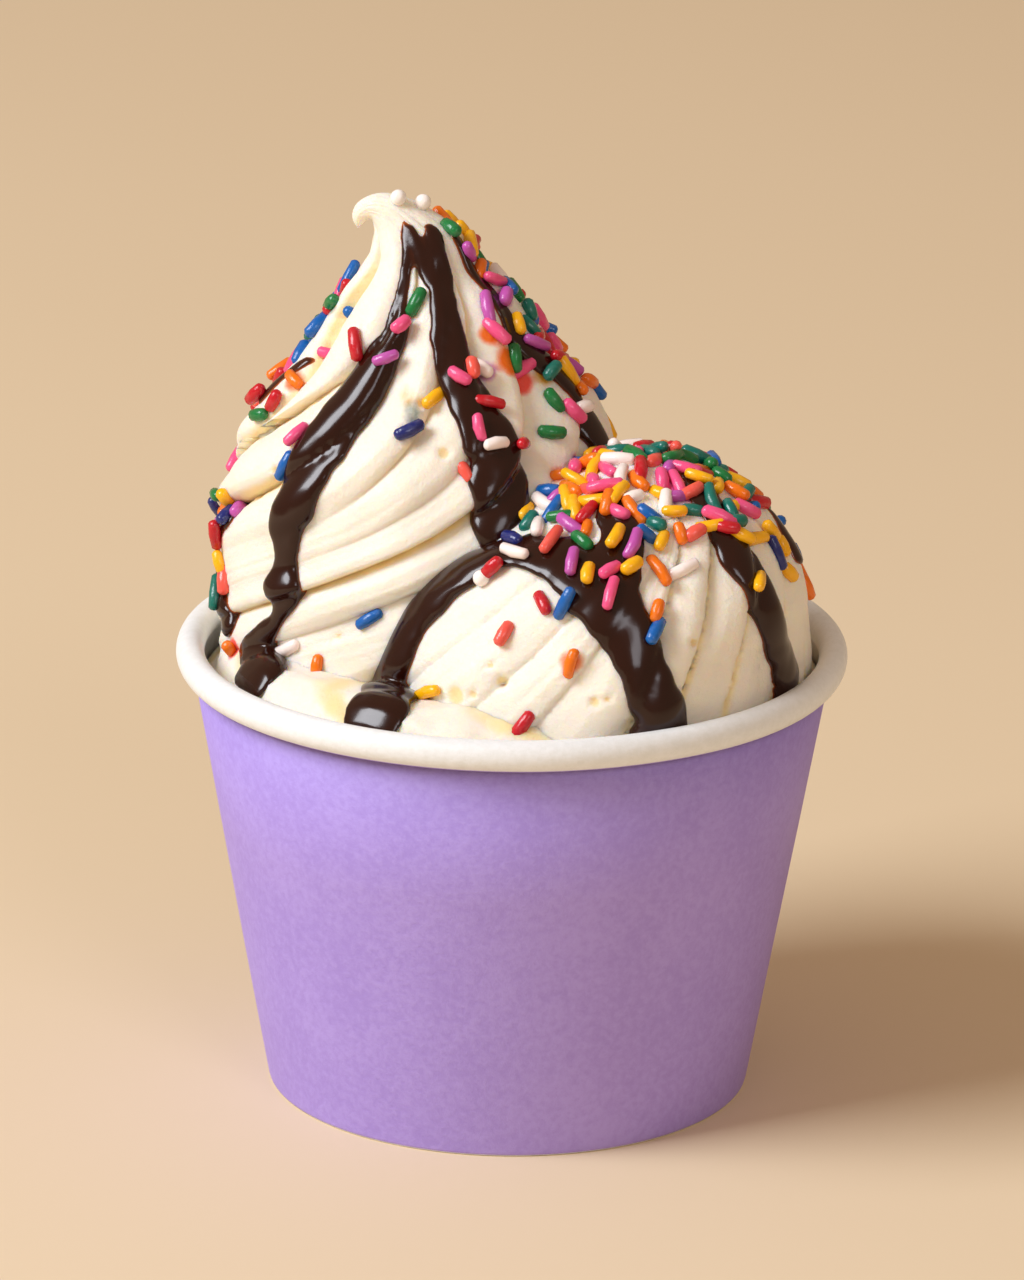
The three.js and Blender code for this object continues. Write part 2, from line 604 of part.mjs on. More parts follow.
// Sprinkles drawn at random in the zones, none close to another, to the wall or to the other portion.
function scattered(body, other, zones, alone, draw) {
  const kept = [];
  const taken = [];
  const tryOne = (spot) => {
    const p = body.point(spot[0], spot[1]);
    if (other.holds(p, SEAM_MARGIN) || Math.hypot(p.x, p.y) > NEAR_WALL + 0.5) return false;
    if (taken.some((q) => q.distanceTo(p) < SPRINKLE_SPACING)) return false;
    taken.push(p);
    kept.push(spot);
    return true;
  };
  alone.forEach(tryOne);
  for (const [from, to, low, high, count] of zones) {
    let made = 0;
    for (let i = 0; i < count * SCATTER_TRIES && made < count; i += 1) {
      if (tryOne([lerp(from, to, draw()), lerp(low, high, draw()), 180 * draw()])) made += 1;
    }
  }
  return kept;
}

// ---------------------------------------------------------------- the two portions, dressed
const draw = seededDraw(SCATTER_SEED);
const swirlSpots = scattered(swirl, mound, SWIRL_SPRINKLE_ZONES, SWIRL_SPRINKLES, draw);
const moundSpots = scattered(mound, swirl, MOUND_SPRINKLE_ZONES, MOUND_SPRINKLES, draw);

// What the mound leans on: the lowest tier, the tall swirl and the runs of sauce between the two.
function seat(grow) {
  return joined([
    bedSolid(grow),
    portionSolid(swirl, SWIRL_FOOT, SWIRL_ROW, grow),
    sauceSolid(swirl, SWIRL_SAUCE.middle, 2 * grow),
    sauceSolid(swirl, SWIRL_SAUCE.right, 2 * grow),
  ]);
}

function dressed(core, body, runs, pools, spots) {
  return joined([
    core,
    ...Object.values(runs).map((path) => sauceSolid(body, path)),
    ...pools.map(poolSolid),
    ...spots.map((spot) => sprinkleSolid(body, spot)),
  ]);
}

// The room inside the cup and above it, from which toppings near the wall may not stick out.
function roomInCup() {
  const throat = ROLL_RADIUS - ROLL_HALF_WIDTH - GAP;
  const over = CUP_HEIGHT + GAP;
  const profile = [
    new THREE.Vector2(0, BASE_TOP + GAP),
    new THREE.Vector2(wallInside(BASE_TOP) - GAP, BASE_TOP + GAP),
    new THREE.Vector2(wallInside(BED_WALL_HEIGHT) - GAP, BED_WALL_HEIGHT),
    new THREE.Vector2(throat, BED_WALL_HEIGHT + 3),
    new THREE.Vector2(throat, over),
    new THREE.Vector2(RIM_RADIUS, over),
    new THREE.Vector2(RIM_RADIUS, 2 * CUP_HEIGHT),
    new THREE.Vector2(0, 2 * CUP_HEIGHT),
  ];
  const lathe = new THREE.LatheGeometry(profile, CUP_SEGMENTS);
  lathe.rotateX(Math.PI / 2);
  return solid(lathe);
}

const room = roomInCup();
const plain = (manifold) => largestPiece(manifold.simplify(FINEST));
const tallSwirl = plain(dressed(seat(0), swirl, SWIRL_SAUCE, SWIRL_POOLS, swirlSpots).intersect(room));
const moundCore = portionSolid(mound, MOUND_FOOT, MOUND_ROW, 0);
const frontMound = plain(
  dressed(moundCore, mound, MOUND_SAUCE, MOUND_POOLS, moundSpots).intersect(room).subtract(seat(SEAM_GAP)),
);

// ---------------------------------------------------------------- the model
function piece(name, geometry, color, roughness) {
  const mesh = new THREE.Mesh(geometry, new THREE.MeshStandardMaterial({ color, roughness, metalness: 0 }));
  mesh.name = name;
  return mesh;
}

const iceCreamCup = new THREE.Group();
iceCreamCup.add(
  piece("cup_wall", cupWallGeometry(), 0xa287d0, 0.6),
  piece("cup_base", cupBaseGeometry(), 0xf1ece4, 0.7),
  piece("tall_swirl", geometryOf(tallSwirl), 0xf6ead2, 0.45),
  piece("front_mound", geometryOf(frontMound), 0xf6ead2, 0.45),
);

export default iceCreamCup;
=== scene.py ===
# %% [markdown]
# # A cup of soft serve
# A paper cup holds a tall twisted swirl of vanilla soft serve and a lower mound that leans on its
# front. Chocolate sauce runs down both, and sugar sprinkles stick to them. The solid model is there
# already as a frame, and this lesson dresses it, one piece after another.

# %% Load the frame
import math
import random

import bmesh
import bpy
import numpy as np
from mathutils import Matrix, Vector, noise
from mathutils.bvhtree import BVHTree
from mathutils.kdtree import KDTree


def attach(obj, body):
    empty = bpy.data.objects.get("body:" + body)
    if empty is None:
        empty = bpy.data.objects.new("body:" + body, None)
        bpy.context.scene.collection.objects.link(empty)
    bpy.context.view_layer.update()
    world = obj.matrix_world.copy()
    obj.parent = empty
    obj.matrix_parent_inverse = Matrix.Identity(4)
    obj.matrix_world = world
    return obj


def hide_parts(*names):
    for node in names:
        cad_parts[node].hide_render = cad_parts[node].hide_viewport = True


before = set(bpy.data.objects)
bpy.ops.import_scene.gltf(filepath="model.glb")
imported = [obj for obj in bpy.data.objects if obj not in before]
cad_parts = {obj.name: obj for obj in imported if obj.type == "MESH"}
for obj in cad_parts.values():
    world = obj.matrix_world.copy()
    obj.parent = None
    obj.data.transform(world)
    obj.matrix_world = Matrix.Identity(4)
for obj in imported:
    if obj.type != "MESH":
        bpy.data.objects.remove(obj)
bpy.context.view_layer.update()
scene = bpy.context.scene


def placed(name, data):
    """A new object in the scene."""
    made = bpy.data.objects.new(name, data)
    scene.collection.objects.link(made)
    return made


def mesh_of(shape, name):
    """The mesh of a bmesh, which is freed."""
    mesh = bpy.data.meshes.new(name)
    shape.to_mesh(mesh)
    shape.free()
    return mesh


# %% [markdown]
# ## The camera
# The photograph was taken from a little above the rim with a long lens, so the ellipses of the rim
# and the foot are almost equally flat. The camera could be aimed with a Track To constraint, but a
# turn about X and a small roll say the same in two numbers and leave nothing to evaluate.

# %% Camera
CAMERA_ELEVATION = math.radians(18.46)
CAMERA_ROLL = math.radians(0.607)
CAMERA_DISTANCE = 1.2
CAMERA_TARGET = Vector((0, 0, 0.06477))
LENS_MM = 239.0

camera = placed("camera", bpy.data.cameras.new("camera"))
camera.data.lens = LENS_MM
camera.data.sensor_width = 36
camera.data.clip_start = 0.05
toward_camera = Vector((0, -math.cos(CAMERA_ELEVATION), math.sin(CAMERA_ELEVATION)))
camera.matrix_world = (
    Matrix.Translation(CAMERA_TARGET + CAMERA_DISTANCE * toward_camera)
    @ Matrix.Rotation(math.pi / 2 - CAMERA_ELEVATION, 4, "X")
    @ Matrix.Rotation(CAMERA_ROLL, 4, "Z")
)
scene.camera = camera
scene.view_settings.view_transform = "Standard"
print("camera at", tuple(round(v, 3) for v in camera.location))

# %% [markdown]
# ## Sums on sockets
# A procedural finish is arithmetic. Wired by hand, each sum is a Math node with its links. A small
# class that stands for one socket does the wiring instead, because Python lets a class say what +
# and * mean. The reflected forms, such as __rsub__, make 1 - mask work as well as mask - 1. Every
# other node comes from one method of the finish.

# %% Signal and Finish
class Signal:
    """One output socket, on which sums can be written."""

    def __init__(self, finish, socket):
        self.finish = finish
        self.socket = socket

    def _sum(self, operation, left, right):
        return self.finish.node("ShaderNodeMath", {"operation": operation}, [left, right])

    def __add__(self, other):
        return self._sum("ADD", self, other)

    def __sub__(self, other):
        return self._sum("SUBTRACT", self, other)

    def __rsub__(self, other):
        return self._sum("SUBTRACT", other, self)

    def __mul__(self, other):
        return self._sum("MULTIPLY", self, other)

    __radd__ = __add__
    __rmul__ = __mul__


class Finish:
    """A material and the one method that adds a node to it."""

    def __init__(self, name):
        self.material = bpy.data.materials.new(name)
        self.material.use_nodes = True
        self.tree = self.material.node_tree
        self.shader = self.tree.nodes["Principled BSDF"]

    def put(self, socket, value):
        if isinstance(value, Signal):
            self.tree.links.new(value.socket, socket)
        else:
            socket.default_value = value

    def node(self, kind, settings=None, inputs=(), output=0):
        made = self.tree.nodes.new(kind)
        for key, value in (settings or {}).items():
            setattr(made, key, value)
        named = inputs.items() if isinstance(inputs, dict) else enumerate(inputs)
        for key, value in named:
            self.put(made.inputs[key], value)
        return Signal(self, made.outputs[output])

    def surface(self, **sockets):
        for name, value in sockets.items():
            self.put(self.shader.inputs[name.replace("_", " ")], value)
        return self.material

    def noise(self, size, detail, rough=0.55):
        """Noise with lumps of about size, in metres, on Object coordinates."""
        place = self.node("ShaderNodeTexCoord", output="Object")
        return self.node(
            "ShaderNodeTexNoise",
            inputs={"Vector": place, "Scale": 1 / size, "Detail": detail, "Roughness": rough},
        )

    def mix(self, share, first, second):
        """first where share is 0, second where it is 1, as colours."""
        return self.node(
            "ShaderNodeMix",
            {"data_type": "RGBA", "clamp_factor": True},
            {0: share, 6: first, 7: second},
            output=2,
        )

    def ramp(self, signal, low, high):
        """0 where the signal is at low or under it, 1 from high on."""
        return self.node(
            "ShaderNodeMapRange",
            {"interpolation_type": "SMOOTHSTEP"},
            {"Value": signal, "From Min": low, "From Max": high},
        )

    def attribute(self, name, output="Fac"):
        return self.node("ShaderNodeAttribute", {"attribute_name": name}, output=output)

    def bump(self, height, distance):
        return self.node("ShaderNodeBump", inputs={"Height": height, "Distance": distance})


def srgb(red, green, blue):
    """A colour as a picture program shows it, 0 to 255, as the linear colour of a socket."""
    shares = [value / 255 for value in (red, green, blue)]
    linear = [s / 12.92 if s <= 0.04045 else ((s + 0.055) / 1.055) ** 2.4 for s in shares]
    return (*linear, 1.0)


print("finishes are written as sums on signals")

# %% [markdown]
# ## Floor and light
# The cup stands on a sheet of warm beige paper. A large softbox on the left gives it a soft shadow on
# the right, and a weak panel at the front right and a dim, warm world fill that in. A softbox could
# be a bright plane, but an area light is sampled directly and so gives less noise. Its size matters
# more than its power, because the sauce mirrors it.

# %% Floor and light
FLOOR_SIZE = 8.0
LIGHTS = [
    # name, place, size, power in watts, colour
    ("key_softbox", Vector((-1.35, -0.55, 1.32)), 0.95, 39.0, (0.91, 0.94, 1.0)),
    ("fill_panel", Vector((0.55, -1.30, 0.85)), 0.5, 3.6, (0.93, 0.93, 1.0)),
]
LIT_POINT = Vector((0, 0, 0.07))
WORLD_COLOR = (1.0, 0.70, 0.47, 1.0)
WORLD_STRENGTH = 0.40

sheet = bmesh.new()
bmesh.ops.create_grid(sheet, x_segments=1, y_segments=1, size=FLOOR_SIZE / 2)
floor = placed("floor", mesh_of(sheet, "floor"))
backdrop = Finish("backdrop_paper")
cloudy = backdrop.noise(0.35, detail=2)
floor.data.materials.append(
    backdrop.surface(
        Base_Color=backdrop.mix(cloudy, srgb(226, 206, 172), srgb(231, 212, 179)),
        Roughness=0.85,
    )
)

for name, place, size, power, color in LIGHTS:
    light = bpy.data.lights.new(name, "AREA")
    light.size = size
    light.energy = power
    light.color = color
    lamp = placed(name, light)
    lamp.location = place
    lamp.rotation_euler = (place - LIT_POINT).to_track_quat("Z", "Y").to_euler()

world = bpy.data.worlds.new("world")
world.use_nodes = True
background = world.node_tree.nodes["Background"].inputs
background["Color"].default_value = WORLD_COLOR
background["Strength"].default_value = WORLD_STRENGTH
scene.world = world

# %% [markdown]
# ## From a bmesh to a piece
# All shapes are worked out in millimetres in a bmesh. One function scales it to metres, makes the
# object and says which body it rides on and which solids of the frame it stands for.

# %% Piece
MM = 0.001


def piece(name, shape, finishes, nodes):
    """The finished object of a bmesh in millimetres."""
    bmesh.ops.scale(shape, vec=(MM, MM, MM), verts=shape.verts)
    for face in shape.faces:
        face.smooth = True
    mesh = mesh_of(shape, name)
    for finish in finishes:
        mesh.materials.append(finish)
    made = placed(name, mesh)
    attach(made, "root")
    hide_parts(*nodes)
    triangles = sum(len(p.vertices) - 2 for p in mesh.polygons)
    print(f"{name}: {triangles} triangles, size mm {[round(v / MM, 1) for v in made.dimensions]}")


# %% [markdown]
# ## Paper
# The board of the cup is white and lightly coated, and printed lilac on the outside. The fibres
# under the ink give it a fine mottled grain. A colour alone would look like plastic, so both papers
# share a grain that moves the colour a little and lifts the surface by less than a tenth of a
# millimetre. It reads Object coordinates, so it needs no UV map and has no seam.

# %% Paper finishes
def paper(name, deep, pale, roughness):
    finish = Finish(name)
    fibres = finish.noise(0.0011, detail=6, rough=0.7)
    clouds = finish.noise(0.012, detail=3)
    tone = finish.ramp(0.7 * fibres + 0.3 * clouds, 0.36, 0.64)
    return finish.surface(
        Base_Color=finish.mix(tone, deep, pale),
        Roughness=roughness + 0.12 * fibres,
        Normal=finish.bump(fibres, 0.00009),
        IOR=1.45,
    )


printed_paper = paper("printed_paper", srgb(165, 143, 224), srgb(177, 157, 234), 0.5)
white_paper = paper("white_paper", srgb(232, 236, 236), srgb(240, 244, 246), 0.42)
print("papers:", printed_paper.name, white_paper.name)

# %% [markdown]
# ## The side wall
# A paper cup's wall is one strip of board, wrapped round, with its top edge rolled outwards into
# the rim and its lower edge folded in and up round the base. Every section through the axis is the
# same, so the wall is a profile that is spun about Z: the foot, the wall, one turn of the roll as an
# arc, and back down inside with the thickness of the board. The spin goes right round, so it is
# merged, and the normals are worked out again.

# %% Side wall
RIM_RADIUS = 47.5
CUP_HEIGHT = 65.5
FOOT_RADIUS = 34.2
WALL_SLOPE = 0.1775
BOARD = 0.55
ROLL_HALF_WIDTH = 2.02
ROLL_HALF_HEIGHT = 2.23
ROLL_RADIUS = RIM_RADIUS - ROLL_HALF_WIDTH
ROLL_HEIGHT = CUP_HEIGHT - ROLL_HALF_HEIGHT
BASE_TOP = 7.5
HEM_HEIGHT = 6.5
GAP = 0.3
SPIN_STEPS = 240
ROLL_STEPS = 26
WELD = 0.001
# The printing ends under the roll. The board wavers a little, because paper is never quite round.
PRINT_TOP = ROLL_HEIGHT - 0.8 * ROLL_HALF_HEIGHT
WAVER = 0.22
WAVER_SIZE = 24
WAVER_FULL = 30


def wall_outside(z):
    return FOOT_RADIUS + WALL_SLOPE * z


def wall_inside(z):
    return wall_outside(z) - BOARD


def roll(first, last, inset):
    """Points on the rolled rim between two directions, in degrees round the middle of the roll."""
    turns = np.radians(np.linspace(first, last, ROLL_STEPS))
    across = ROLL_RADIUS + (ROLL_HALF_WIDTH - inset) * np.cos(turns)
    up = ROLL_HEIGHT + (ROLL_HALF_HEIGHT - inset) * np.sin(turns)
    return list(zip(across, up))


def spun(profile, closed):
    """A profile of (radius, height) turned once about Z."""
    shape = bmesh.new()
    corners = [shape.verts.new((r, 0, z)) for r, z in profile]
    ends = corners[1:] + (corners[:1] if closed else [])
    edges = [shape.edges.new(pair) for pair in zip(corners, ends)]
    bmesh.ops.spin(
        shape, geom=corners + edges, cent=(0, 0, 0), axis=(0, 0, 1), angle=math.tau,
        steps=SPIN_STEPS, use_merge=True, use_duplicate=False,
    )
    bmesh.ops.remove_doubles(shape, verts=shape.verts, dist=WELD)
    bmesh.ops.recalc_face_normals(shape, faces=shape.faces)
    return shape


skirt_room = BOARD + 2 * GAP
hem_inside = wall_inside(0) - skirt_room - BOARD
wall_profile = [
    (FOOT_RADIUS, 0.25), (wall_outside(0.6), 0.6), (wall_outside(20), 20), (wall_outside(40), 40),
    *roll(-103, -440, BOARD),
    *roll(-440, -118, 0),
    (wall_inside(40), 40), (wall_inside(20), 20), (wall_inside(BOARD), BOARD),
    (wall_inside(BOARD) - skirt_room, BOARD),
    (wall_inside(HEM_HEIGHT) - skirt_room, HEM_HEIGHT),
    (wall_inside(HEM_HEIGHT) - skirt_room - BOARD, HEM_HEIGHT),
    (hem_inside, 0.2), (hem_inside + 0.3, 0), (FOOT_RADIUS - 0.3, 0),
]
wall = spun(wall_profile, closed=True)
for face in wall.faces:
    center = face.calc_center_median()
    outward = face.normal.x * center.x + face.normal.y * center.y > 0
    on_wall = math.hypot(center.x, center.y) > wall_outside(center.z) - 0.1 * BOARD
    face.material_index = 0 if outward and on_wall and center.z < PRINT_TOP else 1
for corner in wall.verts:
    wave = noise.noise(Vector((corner.co.x, corner.co.y, 0.6 * corner.co.z)) / WAVER_SIZE)
    outward = Vector((corner.co.x, corner.co.y, 0)).normalized()
    corner.co += WAVER * wave * outward * min(corner.co.z / WAVER_FULL, 1)
piece("cup_paper_wall", wall, [printed_paper, white_paper], ["cup_wall"])

# %% [markdown]
# ## The base
# The base is a disc a few millimetres above the table, with a skirt that the wall's hem grips. It is
# spun too: its profile starts and ends on the axis, and the merge closes both poles.

# %% Base
def skirt_outside(z):
    return wall_inside(z) - GAP


skirt_foot = BOARD + GAP
base_under = BASE_TOP - BOARD
base_profile = [
    (0, base_under),
    (skirt_outside(base_under) - BOARD - 0.5, base_under),
    (skirt_outside(base_under) - BOARD, base_under - 0.5),
    (skirt_outside(skirt_foot) - BOARD, skirt_foot),
    (skirt_outside(skirt_foot), skirt_foot),
    (skirt_outside(BASE_TOP - 0.4), BASE_TOP - 0.4),
    (skirt_outside(BASE_TOP) - 0.4, BASE_TOP),
    (0, BASE_TOP),
]
piece("cup_paper_base", spun(base_profile, closed=False), [white_paper], ["cup_base"])

# %% [markdown]
# ## The form of the ice cream
# Soft serve leaves a star-shaped nozzle, so its section is a ring of round flutes with sharp creases
# between them. The nozzle turns, so the creases wind round it: slowly near the tip and fast low
# down. Sculpted by hand they would never be even, and a Screw modifier can't change its pitch. Here
# the surface is a formula: a table of stations gives the line up the middle, its radius and how far
# the section leans, and the creases are angles that turn with the height, each with its own depth,
# because flutes melt into one low down. The formula then says where sauce and sprinkles lie too.

# %% Stations, twist and flutes
SWIRL_STATIONS = np.array([
    # place, x, y, z, radius, lean of the section in degrees
    [48, -10.5, 7.5, 48, 26.5, 0], [62, -12.3, 8.5, 62, 29.3, 0],
    [74, -12.5, 8.5, 74, 29.2, 0], [86, -12.6, 8.5, 86, 27.6, 0],
    [93, -12.6, 8.4, 93, 25.4, 0], [99, -12, 8.2, 99, 21.7, 0],
    [103.5, -11.8, 8, 103.5, 18.2, 0], [107.5, -12, 8, 107.5, 15.4, 0],
    [111.5, -12, 8, 111.5, 12.6, 0], [115, -12.3, 8, 115, 10, 0],
    [118, -12.9, 8, 118, 7.7, 0], [121, -13.9, 8, 120.8, 6.4, 10.8],
    [123.5, -15.75, 8, 123, 4.7, 25], [125.5, -17.4, 8, 124.55, 3.4, 43],
    [127.3, -18.95, 8, 125.45, 2.5, 65], [129, -20.5, 8, 125.6, 1.7, 97],
    [130.5, -21.75, 8, 124.9, 1.25, 127], [131.8, -22.15, 8, 123.75, 0.8, 162],
    [133, -22.1, 8, 122.6, 0.05, 180],
])
SWIRL_FOOT = 56
# Where the creases stand once the twist is taken off: place, then degrees from the front towards +X.
SWIRL_CREASES = np.array([
    [86, -78, -75, -38, -3.5, 15, 34.5, 61.5, 107, 138, 172, 208, 245],
    [98, -77, -73.5, -37, -11.5, 12, 31, 66, 106, 138, 172, 208, 245],
    [110, -106, -51, -42, -15, -2, 27.5, 61, 106, 138, 170, 200, 226],
])
# How deep each of them is at such a place, as a share of the full depth.
SWIRL_CREASE_DEPTHS = np.array([
    [60, 1, 1, 1, 0.5, 0.5, 0.9, 0.5, 0.7, 1, 1, 1, 1],
    [72, 1, 1, 1.2, 0.05, 0.05, 0.9, 0.3, 0.7, 1, 1, 1, 1],
    [79, 1, 1, 1.4, 0.05, 0.1, 1.4, 0.5, 0.9, 1, 1, 1, 1],
    [85, 1, 1, 1.4, 0.15, 0.3, 1.4, 0.7, 1, 1, 1, 1, 1],
    [93, 1, 1.1, 1.1, 0.6, 0.5, 1.1, 1, 1, 1, 1, 1, 1],
    [106, 1, 1, 1, 1, 1, 1, 1, 1, 1, 1, 1, 1],
])
TWIST_LEVEL = 95
TWIST_SLOW = 1.1
TWIST_GAIN = 3.3
TWIST_MIDDLE = 94
TWIST_SPREAD = 4.5
TWIST_END = 124
SWIRL_FLUTE_DEPTH = 0.37
SWIRL_SKEW = 1.7
SMOOTH_TIP = (116, 126)
TIP_DEPTH = 0.3
MOUND_STATIONS = np.array([
    [48, 11.5, -8, 48, 31, 0], [62, 11.5, -8.3, 62, 31.3, 0],
    [69, 12, -8.5, 69, 30.6, 0], [76, 12.8, -8.8, 76, 27.8, 0],
    [83, 14.2, -9.1, 83, 23.4, 0], [87, 16, -9.3, 87, 19, 0],
    [90.5, 17.2, -9.4, 90.5, 14, 0], [93.5, 17.7, -9.5, 93.5, 8, 0],
    [95, 17.7, -9.5, 95, 3.5, 0], [95.5, 17.7, -9.5, 95.5, 0.05, 0],
])
MOUND_FOOT = 54
# Each crease of the mound: degrees at the top height and at the low one, and its share of the depth.
MOUND_CREASES = np.array([
    (-70, -95, 0.5), (-20, -62, 0.35), (2, -37, 0.3), (14, -17, 0.35), (22, 8, 0.9), (38, 20, 1),
    (55, 38, 1), (78, 60, 1), (104, 85, 1), (132, 112, 1), (165, 145, 1), (212, 195, 1),
    (252, 232, 0.8),
])
MOUND_CREASE_TOP = 88
MOUND_CREASE_LOW = 64
CREASE_REACH = (-0.2, 1.3)
MOUND_FLUTE_DEPTH = 0.29
MOUND_SKEW = 1.6
DEEPEST_FLUTE = 2.6
DEPTH_OF_RADIUS = 0.3
CREST_SHARE = 0.75
LEAST_RADIUS = 0.02
HALF_STEP = 0.5
NEAR_WALL = 40
WALL_GIVE = 2.6
WALL_REACH = 72
WALL_CLEAR = 80


def along(rows, t):
    """A smooth curve through the rows of a table, read at the first column's values t."""
    place, values = rows[:, 0], rows[:, 1:]
    at = np.clip(np.asarray(t, float), place[0], place[-1])
    i = np.clip(np.searchsorted(place, at, side="right") - 1, 0, len(place) - 2)
    step = np.diff(place)[:, None]
    slope = np.diff(values, axis=0) / step
    tangent = np.vstack([
        slope[:1],
        (slope[:-1] * step[1:] + slope[1:] * step[:-1]) / (step[1:] + step[:-1]),
        slope[-1:],
    ])
    h = step[i]
    s = ((at - place[i])[..., None]) / h
    start = 2 * s**3 - 3 * s**2 + 1
    leave = s**3 - 2 * s**2 + s
    arrive = s**3 - s**2
    bend = leave * h * tangent[i] + arrive * h * tangent[i + 1]
    return start * values[i] + (1 - start) * values[i + 1] + bend


def fast_turn(z):
    return np.logaddexp(0, (TWIST_MIDDLE - z) / TWIST_SPREAD)


def twist(t):
    """How far the creases have turned at a place, in degrees."""
    z = np.minimum(t, TWIST_END)
    fast = fast_turn(z) - fast_turn(TWIST_LEVEL)
    return TWIST_SLOW * (z - TWIST_LEVEL) - TWIST_GAIN * TWIST_SPREAD * fast


def twist_rate(t):
    return TWIST_SLOW + TWIST_GAIN / (1 + np.exp((t - TWIST_MIDDLE) / TWIST_SPREAD))


def pick(table, i):
    """The value numbered i of each row."""
    return np.take_along_axis(table, i[..., None], -1)[..., 0]


def closed_ring(once, turn):
    """The values of all creases and the first again, one turn on."""
    return np.concatenate([once, once[..., :1] + turn], -1)


def swirl_creases(t):
    return closed_ring(along(SWIRL_CREASES, t), 360) + np.asarray(twist(t))[..., None]


def swirl_depths(t):
    return closed_ring(along(SWIRL_CREASE_DEPTHS, t), 0)


def mound_creases(t):
    fall = (MOUND_CREASE_TOP - np.asarray(t, float)) / (MOUND_CREASE_TOP - MOUND_CREASE_LOW)
    top, low, _ = MOUND_CREASES.T
    return closed_ring(top + (low - top) * np.clip(fall, *CREASE_REACH)[..., None], 360)


def mound_depths(t):
    return closed_ring(MOUND_CREASES[:, 2] + 0 * np.asarray(t, float)[..., None], 0)


def swirl_depth(arc, radius, t):
    first, last = SMOOTH_TIP
    fade = 1 - (1 - TIP_DEPTH) * np.clip((t - first) / (last - first), 0, 1)
    slope = np.hypot(1, radius * np.radians(twist_rate(t)))
    return fade * np.minimum(SWIRL_FLUTE_DEPTH * arc / slope, DEPTH_OF_RADIUS * radius)


def mound_depth(arc, radius, t):
    return np.minimum(np.minimum(MOUND_FLUTE_DEPTH * arc, DEPTH_OF_RADIUS * radius), DEEPEST_FLUTE)


def pressed_in(points):
    """Near the paper wall the flutes are pressed in."""
    r = np.hypot(points[..., 0], points[..., 1])
    share = np.clip((WALL_CLEAR - points[..., 2]) / (WALL_CLEAR - WALL_REACH), 0, 1)
    pressed = NEAR_WALL + WALL_GIVE * np.tanh((r - NEAR_WALL) / WALL_GIVE)
    scale = np.where(r > NEAR_WALL, 1 + share * (pressed / np.maximum(r, 1e-6) - 1), 1)
    return points * np.stack([scale, scale, np.ones_like(scale)], -1)


class Portion:
    """One portion of ice cream: a surface over degrees from the front and places on its line."""

    def __init__(self, stations, creases, shares, depth, skew):
        self.stations = stations
        self.creases = creases
        self.shares = shares
        self.depth = depth
        self.skew = skew

    def flute(self, degrees, t):
        """Which flute, how far across it from 0 to 1, its width in degrees and its share of depth."""
        marks = self.creases(t)
        phase = np.mod(degrees - marks[..., 0], 360)
        steps = marks - marks[..., :1]
        i = np.clip((steps <= phase[..., None]).sum(-1) - 1, 0, steps.shape[-1] - 2)
        low, high = pick(steps, i), pick(steps, i + 1)
        across = (phase - low) / (high - low)
        shares = self.shares(t)
        at_low, at_high = pick(shares, i), pick(shares, i + 1)
        return i, across, high - low, at_low + (at_high - at_low) * across

    def point(self, degrees, t, lift=0.0, relief=1.0):
        degrees, t = np.broadcast_arrays(np.asarray(degrees, float), np.asarray(t, float))
        x, y, z, radius, lean = np.moveaxis(along(self.stations, t), -1, 0)
        _, across, width, share = self.flute(degrees, t)
        bulge = np.sqrt(np.clip(1 - (2 * np.clip(across, 0, 1) ** self.skew - 1) ** 2, 0, 1))
        depth = share * self.depth(np.radians(width) * radius, radius, t)
        r = np.maximum(radius + relief * depth * (bulge - CREST_SHARE), LEAST_RADIUS)
        a, tilt = np.radians(degrees), np.radians(lean)
        outward = np.stack([np.sin(a) * np.cos(tilt), -np.cos(a), np.sin(a) * np.sin(tilt)], -1)
        surface = pressed_in(np.stack([x, y, z], -1) + r[..., None] * outward)
        return surface + np.asarray(lift)[..., None] * outward

    def frame(self, degrees, t, relief=0.0):
        """Directions on the surface: one degree round it, one millimetre up it, and out of it."""

        def at(turned, raised):
            return self.point(degrees + turned, t + raised, 0, relief)

        turn = at(HALF_STEP, 0) - at(-HALF_STEP, 0)
        rise = at(0, HALF_STEP) - at(0, -HALF_STEP)
        out = np.cross(turn, rise)
        return turn, rise, out / np.linalg.norm(out, axis=-1, keepdims=True)


swirl = Portion(SWIRL_STATIONS, swirl_creases, swirl_depths, swirl_depth, SWIRL_SKEW)
mound = Portion(MOUND_STATIONS, mound_creases, mound_depths, mound_depth, MOUND_SKEW)
for portion in (swirl, mound):
    print("portion ends at", portion.point(0, portion.stations[-1, 0]).round(1))

# %% [markdown]
# ## From the formula to a mesh
# The surface has a pole at its tip and one at its foot, as a UV sphere has. So each portion starts as
# one, and every vertex moves to the place that its column and row have in the formula. The columns
# run along the flutes, with one on every crease, so the creases stay sharp. The rows lie at equal
# distances along the surface.
#
# A nozzle's flute is never clean: air bubbles tear its lips, and the cream is drawn out in faint
# streaks. Noise along the flutes and a stronger, finer noise at the lips give that relief in the
# mesh itself, and a few burst bubbles are pressed in. How near each vertex is to a crease is kept as
# an attribute, from which the finish paints a yellow shade into the creases.

# %% Meshes of the two portions
LINE_SAMPLES = 4000
NARROW_FLUTE = 12
LEAST_COLUMNS = 4
# Each kind of noise as heights and sizes in millimetres.
LUMPS = [(0.55, 9), (0.16, 4.2)]
TEARS = [(1, 1.9), (0.7, 0.9)]
CALM_RADIUS = 9
LIP_SHARE = 0.22
STREAKS_ACROSS = 6
STREAK_LENGTH = 16
FLUTE_SHIFT = 7.3
PIT_CREASE_SHADE = 1.2
FOOT_MARGIN = 10


